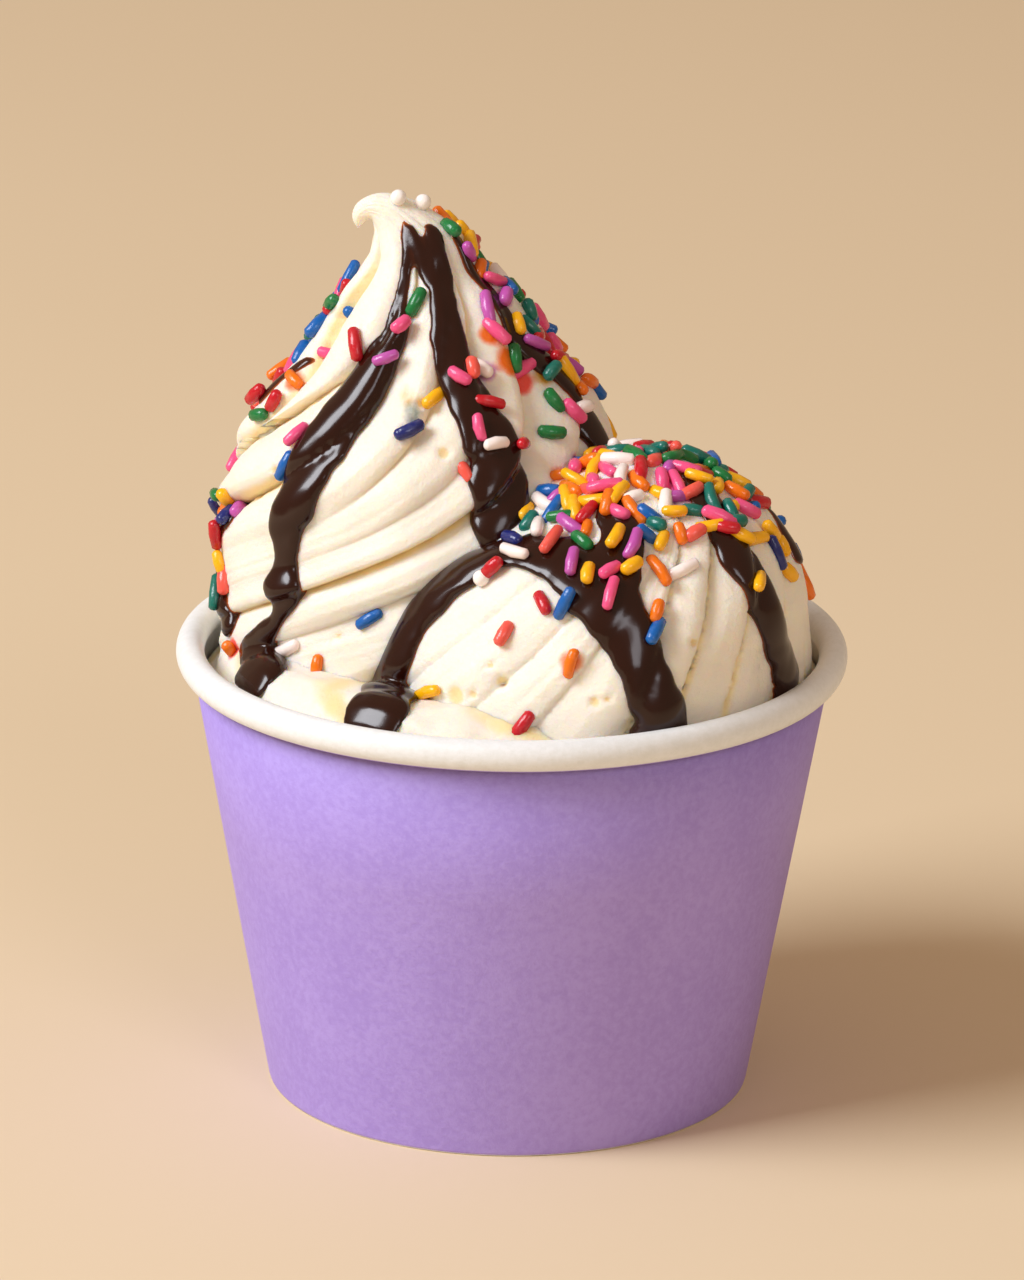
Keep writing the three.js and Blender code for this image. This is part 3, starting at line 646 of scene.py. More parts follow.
def sphere_places(columns, rows):
    """A UV sphere, and the column and the row of each of its vertices."""
    shape = bmesh.new()
    bmesh.ops.create_uvsphere(shape, u_segments=columns, v_segments=rows, radius=1)
    shape.verts.ensure_lookup_table()
    corners = np.array([v.co for v in shape.verts])
    turn = np.mod(np.arctan2(corners[:, 1], corners[:, 0]) + math.pi / 2, math.tau)
    column = np.round(turn / math.tau * columns).astype(int) % columns
    row = np.round(np.arccos(np.clip(corners[:, 2], -1, 1)) / math.pi * rows).astype(int)
    return shape, column, row


def keep(shape, name, values):
    """Keeps a value at each vertex as an attribute."""
    layer = shape.verts.layers.float.new(name)
    for corner, value in zip(shape.verts, values):
        corner[layer] = value


def move_to(shape, places):
    for corner, place in zip(shape.verts, places):
        corner.co = place
    shape.normal_update()


def travelled(line):
    """The length of a line of points up to each of them."""
    steps = np.linalg.norm(np.diff(line, axis=0), axis=1)
    return np.concatenate([[0], np.cumsum(steps)])


def even_rows(stations, foot, count):
    """Places on the line at equal distances along the surface, from the tip to the foot."""
    t = np.linspace(stations[-1, 0], foot, LINE_SAMPLES)
    reached = travelled(along(stations, t)[:, :4])
    return np.interp(np.linspace(0, reached[-1], count), reached, t)


def even_columns(body, t, count):
    """The flute and the share across it of each column, with as many to a flute as its width asks."""
    marks = body.creases(t)
    widths = np.maximum(np.diff(marks), NARROW_FLUTE)
    numbers = np.maximum(LEAST_COLUMNS, np.round(count * widths / widths.sum())).astype(int)
    return [(i, k / n) for i, n in enumerate(numbers) for k in range(n)]


def calm(body, t):
    """1 where the portion is thick, and less towards its tip, where all unevenness dies away."""
    return np.clip(along(body.stations, t)[:, 3] / CALM_RADIUS, 0, 1)


def lumpy(p, kinds):
    return sum(high * noise.noise(Vector(p) / size) for high, size in kinds)


def uneven(body, points, t):
    """The slow unevenness of the cream at each point, in millimetres."""
    return np.array([lumpy(p, LUMPS) for p in points]) * calm(body, t)


def torn(body, points, degrees, t, lip_height, streak_height):
    """The height of the torn lips and the streaks at each point, and how near it is to a crease."""
    flute, across, _, share = body.flute(degrees, t)
    edge = share * np.clip(1 - np.minimum(across, 1 - across) / LIP_SHARE, 0, 1)
    heights = np.empty(len(points))
    for k, p in enumerate(points):
        column = across[k] * STREAKS_ACROSS + FLUTE_SHIFT * flute[k]
        ridge = Vector((column, t[k] / STREAK_LENGTH, flute[k]))
        streak = noise.noise(ridge) + 0.6 * noise.noise(ridge * 2.7)
        heights[k] = streak_height * streak + lip_height * edge[k] ** 2 * lumpy(p, TEARS)
    return heights * calm(body, t), edge * calm(body, t)


def pitted(body, places, out, edge, pits):
    """Small bubbles that have burst: each is a dent, and its inside gets the painted crease shade."""
    for degrees, t, reach, depth in pits:
        away = np.linalg.norm(places - body.point(degrees, t), axis=1)
        dent = np.clip(1 - (away / reach) ** 2, 0, 1)
        places -= out * (depth * dent)[:, None]
        edge = np.maximum(edge, PIT_CREASE_SHADE * dent)
    return edge


def cream(body, foot, columns, rows, lip_height, streak_height, pits):
    ranks = even_columns(body, foot + FOOT_MARGIN, columns)
    shape, column, row = sphere_places(len(ranks), rows)
    t = even_rows(body.stations, foot, rows)[np.minimum(row, rows - 1)]
    marks = body.creases(t)
    flute, share = (np.array(values)[column] for values in zip(*ranks))
    low, high = pick(marks, flute), pick(marks, flute + 1)
    degrees = low + (high - low) * share
    places = body.point(degrees, t)
    _, _, out = body.frame(degrees, t)
    heights, edge = torn(body, places, degrees, t, lip_height, streak_height)
    places += out * (heights + uneven(body, places, t))[:, None]
    edge = pitted(body, places, out, edge, pits)
    places[row == 0] = body.stations[-1, 1:4]
    places[row == rows] = along(body.stations, foot)[:3]
    move_to(shape, places)
    # the crease attribute carries the painted yellow shade of the creases and pits
    keep(shape, "crease", edge)
    return shape


# Degrees, place on the line, reach and depth of each pit.
MOUND_PITS = [
    (-27, 70.5, 1.3, 0.9), (-39, 67.5, 2, 0.7), (-34, 68.3, 1, 0.5), (-1, 69, 1.1, 0.6),
    (2, 69.5, 0.8, 0.5), (-31, 72.5, 0.8, 0.4), (26, 76, 0.9, 0.5),
]
SWIRL_PITS = [(-52, 92, 0.9, 0.5), (-3, 103, 1, 0.5), (-24, 71, 0.8, 0.4), (6, 97, 1.2, 0.5)]
swirl_shape = cream(
    swirl, SWIRL_FOOT, columns=340, rows=230, lip_height=0.42, streak_height=0.10, pits=SWIRL_PITS
)
mound_shape = cream(
    mound, MOUND_FOOT, columns=320, rows=150, lip_height=0.85, streak_height=0.12, pits=MOUND_PITS
)
print("swirl", len(swirl_shape.faces), "faces; mound", len(mound_shape.faces), "faces")

# %% [markdown]
# ## The lowest tier
# Under the two portions a first coil fills the cup. What shows of it is a round shoulder with shallow
# ridges, a little over the rim. A torus would do for one coil, but this one also closes the cup
# below, so it is a sphere grid again, over a short profile.

# %% Lowest tier
BED_CROWN = [
    (0, 62.6), (24, 63.2), (29.5, 65.0), (33.5, 66.3), (37, 66.2), (39.6, 64.8), (41.2, 62.8),
    (42, 61), (42.9, 59.8),
]
BED_WALL_HEIGHT = 59
BED_RIDGES = 9
BED_RIDGE_DEPTH = 1.1
BED_RIDGE_START = 59.5
BED_RIDGE_FULL = 62
BED_LUMPS = [(0.5, 5), (0.25, 1.7)]
BED_CREASE_SHADE_POWER = 6
BED_COLUMNS = 260
BED_CROWN_ROWS = 62
BED_WALL_ROWS = 10

bed_floor = BASE_TOP + GAP
bed_profile = np.array([
    *BED_CROWN,
    (wall_inside(BED_WALL_HEIGHT) - GAP, BED_WALL_HEIGHT),
    (wall_inside(bed_floor) - GAP, bed_floor),
    (0, bed_floor),
])
bed_reach = travelled(bed_profile)
crown_end = bed_reach[len(BED_CROWN)]
bed_rows = np.concatenate([
    np.linspace(0, crown_end, BED_CROWN_ROWS),
    np.linspace(crown_end, bed_reach[-1], BED_WALL_ROWS)[1:],
])
bed_shape, column, row = sphere_places(BED_COLUMNS, len(bed_rows) - 1)
r = np.interp(bed_rows, bed_reach, bed_profile[:, 0])[row]
z = np.interp(bed_rows, bed_reach, bed_profile[:, 1])[row]
turn = column * math.tau / BED_COLUMNS
ridge = np.abs(np.cos((np.degrees(turn) + twist(z)) * BED_RIDGES * math.pi / 360))
ridge_fade = np.clip((z - BED_RIDGE_START) / (BED_RIDGE_FULL - BED_RIDGE_START), 0, 1)
depth = BED_RIDGE_DEPTH * ridge_fade * ridge
inner = np.where(r > 0, r - depth, 0)
places = np.stack([inner * np.sin(turn), -inner * np.cos(turn), z], -1)
for k, p in enumerate(places):
    if z[k] > BED_WALL_HEIGHT:
        places[k, 2] += lumpy(p, BED_LUMPS)
move_to(bed_shape, places)
# painted shade: the grooves between the ridges get the yellow crease shade of the finish
keep(bed_shape, "crease", ridge**BED_CREASE_SHADE_POWER)
print("lowest tier:", len(bed_shape.faces), "faces")

# %% [markdown]
# ## Runs of sauce
# Poured sauce runs down between the flutes, narrows where it is fast, swells where it slows down and
# spreads to a pool on the lowest tier. Each run is a listed path over the surface, with half its
# width at each point. A curve with a bevel would float over the flutes, so a flattened tube follows
# the formula instead: again a UV sphere, with its under side in the cream.
#
# Where runs meet they merge. A Boolean would leave a sharp line there, so the tubes are remeshed to
# one skin with small voxels and relaxed, which rounds the lines as surface tension does.

# %% Paths of the sauce
SWIRL_SAUCE = {
    # degrees, place on the line, half the width
    "left": [
        [24, 125.2, 0.5], [-2, 123, 0.7], [-16, 120, 0.9], [-21, 116, 1], [-21, 112.5, 1.6],
        [-24, 109, 2.4], [-30, 105, 3.2], [-35, 100, 3.9], [-38, 95, 4.1], [-40, 90, 3.7],
        [-42, 85.5, 3.1], [-41.5, 80.5, 2], [-41.5, 76.5, 3.5], [-43, 72, 1.4], [-50, 67.5, 2.6],
        [-56, 61.5, 4.6],
    ],
    "middle": [
        [51, 123.5, 1], [30, 121.5, 1.4], [20, 119.3, 1.7], [12, 115, 2], [12, 110, 2.6],
        [15, 105.2, 3.1], [20, 101, 3.6], [24, 96, 4.2], [24, 88, 4.4], [23, 80, 3.6],
    ],
    "link": [[22, 124.4, 0.6], [5, 121.5, 1], [3, 118.8, 1.2], [9, 116.5, 1.4]],
    "right": [
        [70, 122.2, 1], [61, 119.8, 1.3], [59, 116.5, 1.5], [57, 111.2, 1.7], [62, 107, 2.1],
        [71, 104, 2.6], [75, 100, 2.8], [75, 94, 2.4], [72, 89, 1.9], [71, 84, 1.6],
    ],
    "left_streak": [[-76, 105, 0.9], [-84, 101, 1.4], [-88, 97, 1.5]],
    "far_left": [[-72, 83, 1.3], [-83, 77, 1], [-82, 72, 1.1], [-70, 68, 2.3], [-67, 65.5, 1.6]],
    "behind_right": [
        [128, 117, 1.3], [134, 108, 2.2], [140, 99, 2.9], [134, 90, 3.1], [128, 82, 2.4],
        [124, 77, 2.9],
    ],
    "behind": [
        [192, 119, 1.2], [188, 110, 2.1], [182, 101, 2.8], [190, 92, 3.1], [186, 83, 2.3],
        [182, 76, 2.9], [180, 72, 2.2],
    ],
    "behind_left": [
        [-124, 112, 1.3], [-128, 104, 2], [-122, 96, 2.3], [-128, 88, 1.9], [-126, 83, 2.3],
    ],
}
MOUND_SAUCE = {
    "arch_left": [
        [-40, 86.5, 3.5], [-54, 84, 3.9], [-61, 79, 3.8], [-64, 74, 3.5], [-64, 69, 3.5],
        [-68, 63, 3.9], [-74, 59, 4.2],
    ],
    "arch_right": [
        [-52, 86, 3.3], [-29, 86, 3.6], [-10, 84, 3.9], [2, 80, 3.8], [9, 75.5, 3.5],
        [14, 70, 3.4], [17, 66, 4.2], [17, 61, 4.4],
    ],
    "from_top": [[-30, 94, 1.6], [-11, 90.3, 2.6], [-3, 86.5, 3.2], [1, 82, 3.2]],
    "right": [
        [70, 94.4, 2], [48, 91.5, 2.7], [48, 86, 3.2], [53, 80.5, 3], [58, 74.5, 2.7], [65, 69, 3],
        [68, 63, 4.4],
    ],
    "far_right": [[105, 88, 1.2], [92, 84, 1.5], [87, 79.5, 1.5]],
    "behind_right": [[140, 91, 1.5], [132, 85, 2.2], [126, 78, 2.4], [128, 71, 2.7]],
}
# Where a run spreads over the lowest tier it leaves a pool: x and y of its middle, its half sizes.
SWIRL_POOLS = [(-34.6, -10.5, 3.6, 6.2), (-35.6, -16.6, 4.6, 4.8)]
MOUND_POOLS = [(-16.6, -27.0, 4.4, 7), (-18.4, -33.4, 4.8, 5)]
POOL_THICKNESS = 1.6
POOL_REACH = 41.2
POOL_COLUMNS = 40
POOL_ROWS = 20
SAUCE_COLUMNS = 28
SAUCE_STEP = 0.45
PATH_SAMPLES = 200
SAUCE_THICKNESS = 0.76
SAUCE_THICKENING = 0.75
SAUCE_WIDTHS = (0.6, 4)
SAUCE_ROOT = 1.1
SAUCE_FLATNESS = 0.75
SAUCE_RELIEF = 0.55
SAUCE_END_POWER = 18
SAUCE_WOBBLE = 0.22
WOBBLE_LENGTH = 3.1
SAUCE_VOXEL = 0.30
SAUCE_RELAX = 8
AHEAD = 0.01


def run_of_sauce(body, path, seed):
    """A closed tube along a path: rounded above the ice cream and rooted in it."""
    rows = np.array([[i, *point] for i, point in enumerate(path)], float)

    def on_path(s):
        return body.point(*along(rows, s)[:, :2].T, 0, 0)

    samples = np.linspace(0, len(path) - 1, PATH_SAMPLES)
    reached = travelled(on_path(samples))
    count = int(reached[-1] / SAUCE_STEP)
    s = np.interp(np.linspace(0, reached[-1], count + 1), reached, samples)
    shape, column, row = sphere_places(SAUCE_COLUMNS, count)
    degrees, t, half = np.moveaxis(along(rows, s), -1, 0)
    turn, rise, out = body.frame(degrees, t)
    side = np.cross(on_path(s + AHEAD) - on_path(s - AHEAD), out)
    side /= np.linalg.norm(side, axis=-1, keepdims=True)
    end = np.sqrt(np.clip(1 - (2 * np.linspace(0, 1, count + 1) - 1) ** SAUCE_END_POWER, 0, 1))
    wobble = np.array([
        [noise.noise(Vector((k * SAUCE_STEP / WOBBLE_LENGTH, seed, edge))) for edge in (0, 5)]
        for k in range(count + 1)
    ])
    angle = column / SAUCE_COLUMNS * math.tau
    left_or_right = (np.cos(angle) > 0).astype(int)
    across = (half * end)[row] * np.cos(angle) * (1 + SAUCE_WOBBLE * wobble[row, left_or_right])
    high = np.sin(angle)
    sideways = (side * turn).sum(-1) / (turn * turn).sum(-1)
    upward = (side * rise).sum(-1) / (rise * rise).sum(-1)
    thick = SAUCE_THICKNESS * np.clip(half, *SAUCE_WIDTHS) ** SAUCE_THICKENING * end
    lift = np.where(high > 0, np.abs(high) ** SAUCE_FLATNESS * thick[row], high * SAUCE_ROOT)
    relief = np.where(high > 0, SAUCE_RELIEF, 1)
    places = degrees[row] + across * sideways[row], t[row] + across * upward[row]
    lumps = uneven(body, body.point(*places), places[1])
    move_to(shape, body.point(*places, lift + lumps, relief))
    return shape


def merged(shapes):
    """One skin round all the shapes, remeshed and then relaxed."""
    whole = bmesh.new()
    for shape in shapes:
        mesh = mesh_of(shape, "part")
        whole.from_mesh(mesh)
        bpy.data.meshes.remove(mesh)
    mesh = mesh_of(whole, "skin")
    skin = placed("skin", mesh)
    remesh = skin.modifiers.new("remesh", "REMESH")
    remesh.mode = "VOXEL"
    remesh.voxel_size = SAUCE_VOXEL
    graph = bpy.context.evaluated_depsgraph_get()
    out = bmesh.new()
    out.from_object(skin, graph)
    bpy.data.objects.remove(skin)
    bpy.data.meshes.remove(mesh)
    for _ in range(SAUCE_RELAX):
        bmesh.ops.smooth_vert(
            out, verts=out.verts, factor=0.5, use_axis_x=True, use_axis_y=True, use_axis_z=True
        )
    out.normal_update()
    return out


def pool(x, y, half_x, half_y):
    """A closed cake of sauce that is draped over the lowest tier."""
    shape = bmesh.new()
    bmesh.ops.create_uvsphere(shape, u_segments=POOL_COLUMNS, v_segments=POOL_ROWS, radius=1)
    crown = np.array(BED_CROWN)
    for corner in shape.verts:
        place = Vector((x + half_x * corner.co.x, y + half_y * corner.co.y))
        place *= min(1, POOL_REACH / place.length)
        under = np.interp(place.length, crown[:, 0], crown[:, 1])
        lift = corner.co.z * (POOL_THICKNESS if corner.co.z > 0 else SAUCE_ROOT)
        corner.co = (*place, under + lift)
    return shape


def sauce(body, runs, pools):
    tubes = [run_of_sauce(body, path, seed) for seed, path in enumerate(runs.values())]
    return merged(tubes + [pool(*sizes) for sizes in pools])


swirl_sauce_shape = sauce(swirl, SWIRL_SAUCE, SWIRL_POOLS)
mound_sauce_shape = sauce(mound, MOUND_SAUCE, MOUND_POOLS)
print("sauce faces:", len(swirl_sauce_shape.faces), len(mound_sauce_shape.faces))

# %% [markdown]
# ## Thin edges of the sauce
# Thick chocolate sauce is almost black, but where it thins out to its edge the light of the cream
# comes through and it turns amber. Absorption in a volume would show that, but it is slow and doesn't
# survive an export. The distance of each vertex of the sauce from the cream says the same, so it is
# measured once with a BVH tree and kept as an attribute.

# %% Measure the sauce's thickness
swirl_tree = BVHTree.FromBMesh(swirl_shape)
mound_tree = BVHTree.FromBMesh(mound_shape)


def thickness_at(place, tree):
    nearest, normal, _, distance = tree.find_nearest(place)
    return distance if (place - nearest).dot(normal) > 0 else 0


for shape, tree in (swirl_sauce_shape, swirl_tree), (mound_sauce_shape, mound_tree):
    thicknesses = [thickness_at(corner.co, tree) for corner in shape.verts]
    keep(shape, "thickness", thicknesses)
    print("sauce up to", round(max(thicknesses), 2), "mm thick")

# %% [markdown]
# ## Sprinkles
# A sprinkle is a sugar rod with round ends, about two millimetres thick and five long, and a pearl
# is a small ball. Each is a coarse UV sphere: for a rod its two halves are moved apart.
# A particle system would scatter them quickly, but it is lost in an export. So some are listed one
# by one and a seeded loop draws the rest. Each is dropped on the surface under it, cream or sauce.
# All sprinkles of a colour are one mesh.

# %% Places of the sprinkles
# For each colour how many there are, about in a hundred, and how it looks in the picture.
SUGARS = {
    "red": (13, 196, 22, 38), "orange": (13, 240, 118, 12), "yellow": (15, 250, 184, 14),
    "green": (9, 18, 118, 58), "teal": (7, 10, 110, 96), "blue": (12, 10, 96, 176),
    "navy": (4, 30, 40, 110), "pink": (14, 238, 84, 138), "violet": (7, 190, 84, 172),
    "coral": (8, 240, 92, 78), "white": (6, 250, 238, 232),
}
COLOURS = {name: srgb(*values[1:]) for name, values in SUGARS.items()}
ROD_RADIUS = 0.96
ROD_LENGTH = 5.0
ROD_COLUMNS = 10
ROD_ROWS = 6
PEARL_RADIUS = 1.15
SPACING = 2.1
TRIES = 30
RAY_START = 6
RAY_LENGTH = 9
SPRINKLE_RELIEF = 0.6
# How far a sprinkle stays above and outside the other portion.
CLEAR_ABOVE = 1
CLEAR_ROUND = 0.6
# Sprinkles that lie alone: colour, degrees, place on the line, turn from upright in degrees.
SWIRL_ALONE = [
    ("red", -41, 109, -30), ("pink", -46, 97, -15), ("blue", -46, 91.5, 25), ("navy", -7, 99.5, 55),
    ("yellow", 2, 103.5, 60), ("pink", 17, 99.5, -8), ("coral", 13, 94.7, -40),
    ("orange", -29, 66.6, 0), ("white", -40, 67.6, 60), ("red", -24, 59.7, 20),
    ("yellow", 79, 101, -15), ("green", 58, 101, -10), ("blue", -15, 74, 55),
    ("orange", -65, 64, 20), ("pink", -80, 58, 60), ("pink", 14, 105.5, -45),
    ("violet", -22, 107.6, 60), ("pink", -14, 111, 40), ("green", -7, 114.5, 30),
    ("violet", 44, 113.5, 20), ("pink", 24, 110.6, -30),
]
MOUND_ALONE = [
    ("yellow", -81, 79, 25), ("orange", -74, 82.6, 40), ("yellow", -72, 87, 65),
    ("green", -89, 81, 60), ("blue", -14, 81, 28), ("coral", -30, 76.5, 0), ("orange", -9, 74, 5),
    ("red", -19, 65, 30), ("red", -22, 81, -50), ("yellow", 49, 87, -45), ("orange", 22, 88.5, -20),
    ("orange", 14, 85, -40), ("orange", 14, 80.5, 10), ("blue", 13, 78, 40), ("pink", 22, 74.6, -60),
    ("pink", 37, 74, -40), ("red", 79, 70, -30), ("red", 35, 65, -60), ("yellow", 3, 85, 35),
    ("coral", -33, 87, -15), ("violet", -18, 85, -20), ("pink", -1, 82, 0), ("yellow", -47, 67, 60),
]
# Where they lie thickly: degrees from and to, place on the line from and to, how many.
SWIRL_ZONES = [
    (62, 128, 98, 122.5, 46), (100, 150, 78, 100, 14), (-122, -74, 95, 114, 26),
    (-112, -74, 70, 86, 16), (128, 238, 80, 121, 46), (-160, -110, 76, 96, 14),
    (14, 70, 96, 112, 8),
]
MOUND_ZONES = [
    (-180, 180, 90.5, 95.4, 84), (-70, 100, 88, 91.5, 26), (50, 140, 66, 88, 20),
    (-85, 25, 83, 89, 8),
]
PEARL_RISE = 0.5
PEARLS = [(swirl, 60, 126.4), (swirl, 84, 124.6), (mound, -47, 82), (swirl, -100, 88)]
SEED = 20903


def surface_under(body, place, out):
    """What a ray from above a place meets first: where, the normal, the face and how far."""
    start = Vector(place) + RAY_START * Vector(out)
    hits = [tree.ray_cast(start, -Vector(out), RAY_LENGTH) for tree in trees[body]]
    return min((hit for hit in hits if hit[0] is not None), key=lambda hit: hit[3], default=None)


def inside_other(body, place):
    """Whether a place lies under the surface of the other portion or close to it."""
    other = mound if body is swirl else swirl
    if place[2] > other.stations[-1, 3] + CLEAR_ABOVE:
        return False
    x, y, _, radius, _ = along(other.stations, place[2])
    return math.hypot(place[0] - x, place[1] - y) < radius + CLEAR_ROUND


draw = random.Random(SEED)
names = list(SUGARS)
weights = [values[0] for values in SUGARS.values()]
trees = {
    swirl: [swirl_tree, BVHTree.FromBMesh(swirl_sauce_shape)],
    mound: [mound_tree, BVHTree.FromBMesh(mound_sauce_shape)],
}
settled = []


def settle(body, color, degrees, t, turn, spacing):
    """Drops one sprinkle on the surface, unless another is too near."""
    place = body.point(degrees, t)
    if inside_other(body, place) or math.hypot(place[0], place[1]) > NEAR_WALL + 1:
        return False
    _, up, out = body.frame(degrees, t, SPRINKLE_RELIEF)
    found = surface_under(body, place, out)
    if found is None:
        return False
    spot, normal, _, _ = found
    if any((spot - other).length < spacing for _, other, _, _ in settled):
        return False
    up = Vector(up).normalized()
    level = up - up.dot(normal) * normal
    lay = Matrix.Rotation(-math.radians(turn), 3, normal) @ level.normalized()
    settled.append((color, spot, normal.copy(), lay))
    return True


for body, alone, zones in (swirl, SWIRL_ALONE, SWIRL_ZONES), (mound, MOUND_ALONE, MOUND_ZONES):
    for color, degrees, t, turn in alone:
        settle(body, color, degrees, t, turn, 0)
    for first, last, low, high, count in zones:
        made = 0
        for _ in range(count * TRIES):
            color = draw.choices(names, weights)[0]
            degrees = draw.uniform(first, last)
            t = draw.uniform(low, high)
            turn = draw.uniform(0, 180)
            if made < count and settle(body, color, degrees, t, turn, SPACING):
                made += 1
print(len(settled), "sprinkles have settled")

# %% [markdown]
# Each rod gets its own length, thickness, bend and tilt. Some sink half into the soft cream and some
# lie on top, so how far the middle stands out is drawn too.

# %% Meshes of the sprinkles
# The ranges from which a rod's measures are drawn.
THICKNESSES = (0.88, 1.08)
LENGTHS = (0.64, 1.1)
BENDS = (-0.35, 0.35)
RISES = (0.15, 0.85)
TILTS = (-14, 14)


def rod(shape, spot, normal, lay):
    """Adds one rod to a bmesh."""
    made = bmesh.ops.create_uvsphere(shape, u_segments=ROD_COLUMNS, v_segments=ROD_ROWS, radius=1)
    radius = ROD_RADIUS * draw.uniform(*THICKNESSES)
    straight = ROD_LENGTH * draw.uniform(*LENGTHS) - 2 * radius
    bend = draw.uniform(*BENDS)
    rise = draw.uniform(*RISES)
    tilt = math.radians(draw.uniform(*TILTS))
    for corner in made["verts"]:
        half = math.copysign(straight / 2, corner.co.z) if abs(corner.co.z) > 0.01 else 0
        length = radius * corner.co.z + half
        corner.co = Vector((
            radius * corner.co.x + bend * (2 * length / ROD_LENGTH) ** 2, radius * corner.co.y, length
        ))
    side = lay.cross(normal)
    turn = Matrix.Rotation(tilt, 3, side) @ Matrix((side, normal, lay)).transposed()
    place = Matrix.Translation(spot + rise * normal) @ turn.to_4x4()
    bmesh.ops.transform(shape, matrix=place, verts=made["verts"])


def sprinkle_finish(name, color):
    finish = Finish(f"sugar_{name}")
    grain = finish.noise(0.0012, detail=3)
    pale = tuple(0.97 * c + 0.03 for c in color[:3]) + (1.0,)
    return finish.surface(
        Base_Color=finish.mix(finish.ramp(grain, 0.45, 0.75), color, pale),
        Roughness=0.16 + 0.16 * grain,
        Normal=finish.bump(grain, 0.00012),
        Subsurface_Weight=0.05,
        Subsurface_Scale=0.0005,
        Subsurface_Radius=(1.0, 0.8, 0.6),
        IOR=1.5,
    )


portions = ["tall_swirl", "front_mound"]
for name, color in COLOURS.items():
    shape = bmesh.new()
    for sugar, *lie in settled:
        if sugar == name:
            rod(shape, *lie)
    piece(f"sprinkles_{name}", shape, [sprinkle_finish(name, color)], portions)

pearls = bmesh.new()
for body, degrees, t in PEARLS:
    _, _, out = body.frame(degrees, t)
    spot = Vector(body.point(degrees, t)) + PEARL_RISE * PEARL_RADIUS * Vector(out)
    bmesh.ops.create_uvsphere(
        pearls, u_segments=14, v_segments=8, radius=PEARL_RADIUS, matrix=Matrix.Translation(spot)
    )
piece("sugar_pearls", pearls, [sprinkle_finish("pearl", srgb(252, 246, 240))], portions)

# %% [markdown]
# ## Dye in the cream
# Where a sprinkle lies in wet cream its colour runs. So each one stains the vertices round it, most
# of them hardly and some strongly. A colour attribute holds the dye, and its alpha says how much.

# %% Stain the cream
STAIN_REACH = 2.6
STAIN_REACHES = (0.6, 1.1)
STAIN_STRENGTH = 0.7
STAIN_RARITY = 2.2
# Places where sunken sprinkles have stained the cream: colour, degrees, place, reach, strength.
SUNKEN = [
    ("orange", 44, 107, 3.0, 0.8), ("coral", 50, 103.5, 2.6, 0.8), ("orange", 38, 110.5, 2.2, 0.7),
    ("red", 66, 97, 1.6, 0.9), ("coral", 72, 99.5, 2.0, 0.8), ("yellow", 62, 104, 2.2, 0.6),
    ("green", 64, 99, 1.8, 0.4), ("violet", 30, 106, 2.0, 0.5), ("pink", 56, 93, 2.4, 0.35),
    ("yellow", -10, 104, 2.4, 0.3), ("teal", -6, 102, 2.2, 0.35), ("coral", -64, 64.5, 2.0, 0.9),
]


def dye(shape, stains):
    layer = shape.verts.layers.float_color.new("dye")
    tree = KDTree(len(shape.verts))
    for i, corner in enumerate(shape.verts):
        tree.insert(corner.co, i)
        corner[layer] = (1, 1, 1, 0)
    tree.balance()
    shape.verts.ensure_lookup_table()
    for spot, color, reach, strength in stains:
        for _, i, distance in tree.find_range(spot, reach):
            corner = shape.verts[i]
            old = corner[layer]
            new = strength * (1 - (distance / reach) ** 2)
            if new > 0:
                total = old[3] + new
                mixed = [(old[3] * old[c] + new * color[c]) / total for c in range(3)]
                corner[layer] = (*mixed, min(total, 1))


stains = []
for name, spot, _, _ in settled:
    reach = STAIN_REACH * draw.uniform(*STAIN_REACHES)
    strength = STAIN_STRENGTH * draw.random() ** STAIN_RARITY
    stains.append((spot, COLOURS[name], reach, strength))
for name, degrees, t, reach, strength in SUNKEN:
    stains.append((Vector(swirl.point(degrees, t)), COLOURS[name], reach, strength))
for shape in (swirl_shape, mound_shape, bed_shape):
    dye(shape, stains)
print(len(stains), "stains")
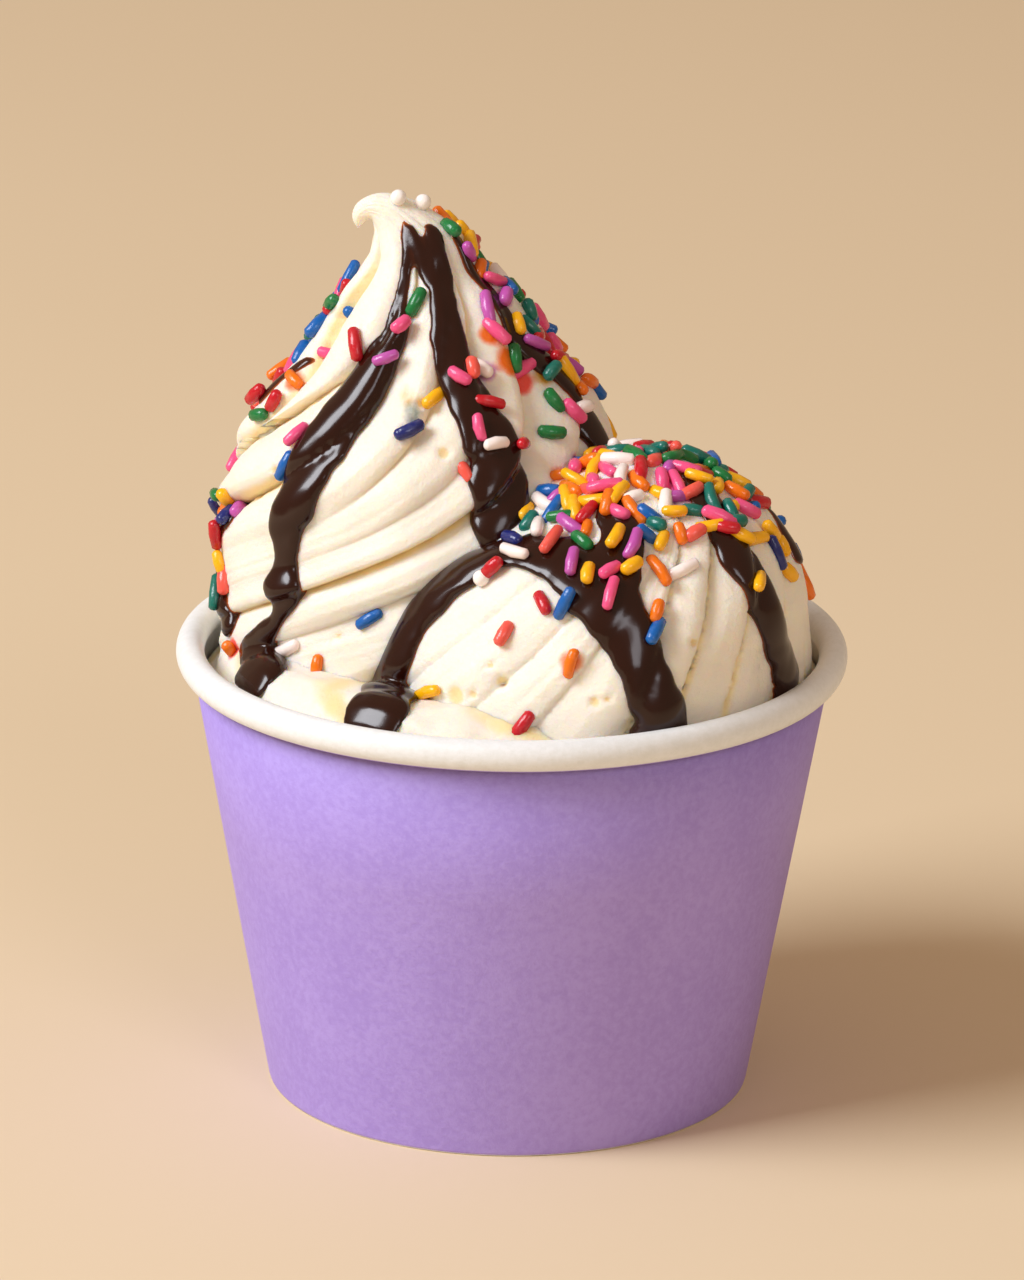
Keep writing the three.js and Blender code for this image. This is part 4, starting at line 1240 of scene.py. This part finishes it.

# %% [markdown]
# ## The finish of the cream
# Light goes into soft serve, scatters and comes out warm, so the creases glow yellow instead of
# turning grey. That is subsurface scattering, with red travelling furthest. A warmer colour alone
# would look like wax. Besides that, the crease attribute paints a yellow shade into the creases, the
# pits and the grooves of the lowest tier, patchy with noise. A fine bump stands for small bubbles,
# and a thin coat gives the moist sheen.

# %% Cream finish
vanilla = Finish("vanilla_cream")
crease = vanilla.attribute("crease")
dyed = vanilla.attribute("dye", "Color")
dye_share = vanilla.attribute("dye", "Alpha")
grain = vanilla.noise(0.0006, detail=5, rough=0.65)
lumps = vanilla.noise(0.0035, detail=3)
clouds = vanilla.noise(0.011, detail=2)
# painted shade: yellow where the crease attribute is high, in creases, pits and grooves, patchy with
# noise
crease_shade = vanilla.ramp(crease * (0.55 + 0.9 * clouds) + 0.35 * lumps, 0.55, 1.25)
clean = vanilla.mix(crease_shade, (0.95, 0.874, 0.765, 1), (0.94, 0.745, 0.40, 1))
blotches = vanilla.ramp(dye_share + 0.6 * lumps - 0.3, 0.12, 0.62)
cream_finish = vanilla.surface(
    Base_Color=vanilla.mix(blotches, clean, dyed),
    Roughness=0.42 + 0.16 * grain,
    Normal=vanilla.bump(0.6 * grain + 0.4 * lumps, 0.00035),
    Subsurface_Weight=0.9,
    Subsurface_Radius=(1.0, 0.72, 0.4),
    Subsurface_Scale=0.0012,
    IOR=1.38,
    Coat_Weight=0.12,
    Coat_Roughness=0.25,
)
piece("swirl_cream", swirl_shape, [cream_finish], ["tall_swirl"])
piece("tier_cream", bed_shape, [cream_finish], ["tall_swirl"])
piece("mound_cream", mound_shape, [cream_finish], ["front_mound"])

# %% [markdown]
# ## The finish of the sauce
# The sauce is dark, smooth and wet. Its colour goes from amber where it is thin to almost black. A
# mirror would be too hard, so the roughness stays a little up and only a thin clear coat is sharp.

# %% Sauce finish
chocolate = Finish("chocolate_sauce")
thickness = chocolate.attribute("thickness")
ripple = chocolate.noise(0.006, detail=1)
depth = thickness + 0.1 * ripple
thin = chocolate.mix(chocolate.ramp(depth, 0.05, 0.3), srgb(170, 84, 26), srgb(72, 30, 14))
sauce_finish = chocolate.surface(
    Base_Color=chocolate.mix(chocolate.ramp(depth, 0.15, 0.6), thin, srgb(40, 12, 5)),
    Roughness=0.15 + 0.08 * ripple,
    Normal=chocolate.bump(ripple, 0.0004),
    IOR=1.41,
    Coat_Weight=0.15,
    Coat_Roughness=0.05,
)
piece("swirl_sauce", swirl_sauce_shape, [sauce_finish], ["tall_swirl"])
piece("mound_sauce", mound_sauce_shape, [sauce_finish], ["front_mound"])

# %% [markdown]
# ## Sizes
# Each piece prints its size in millimetres as it is made. These sizes should agree with the
# frame's solids to a few millimetres, because the looks don't change the size of the object.

# %% Sizes
print("all pieces are made")
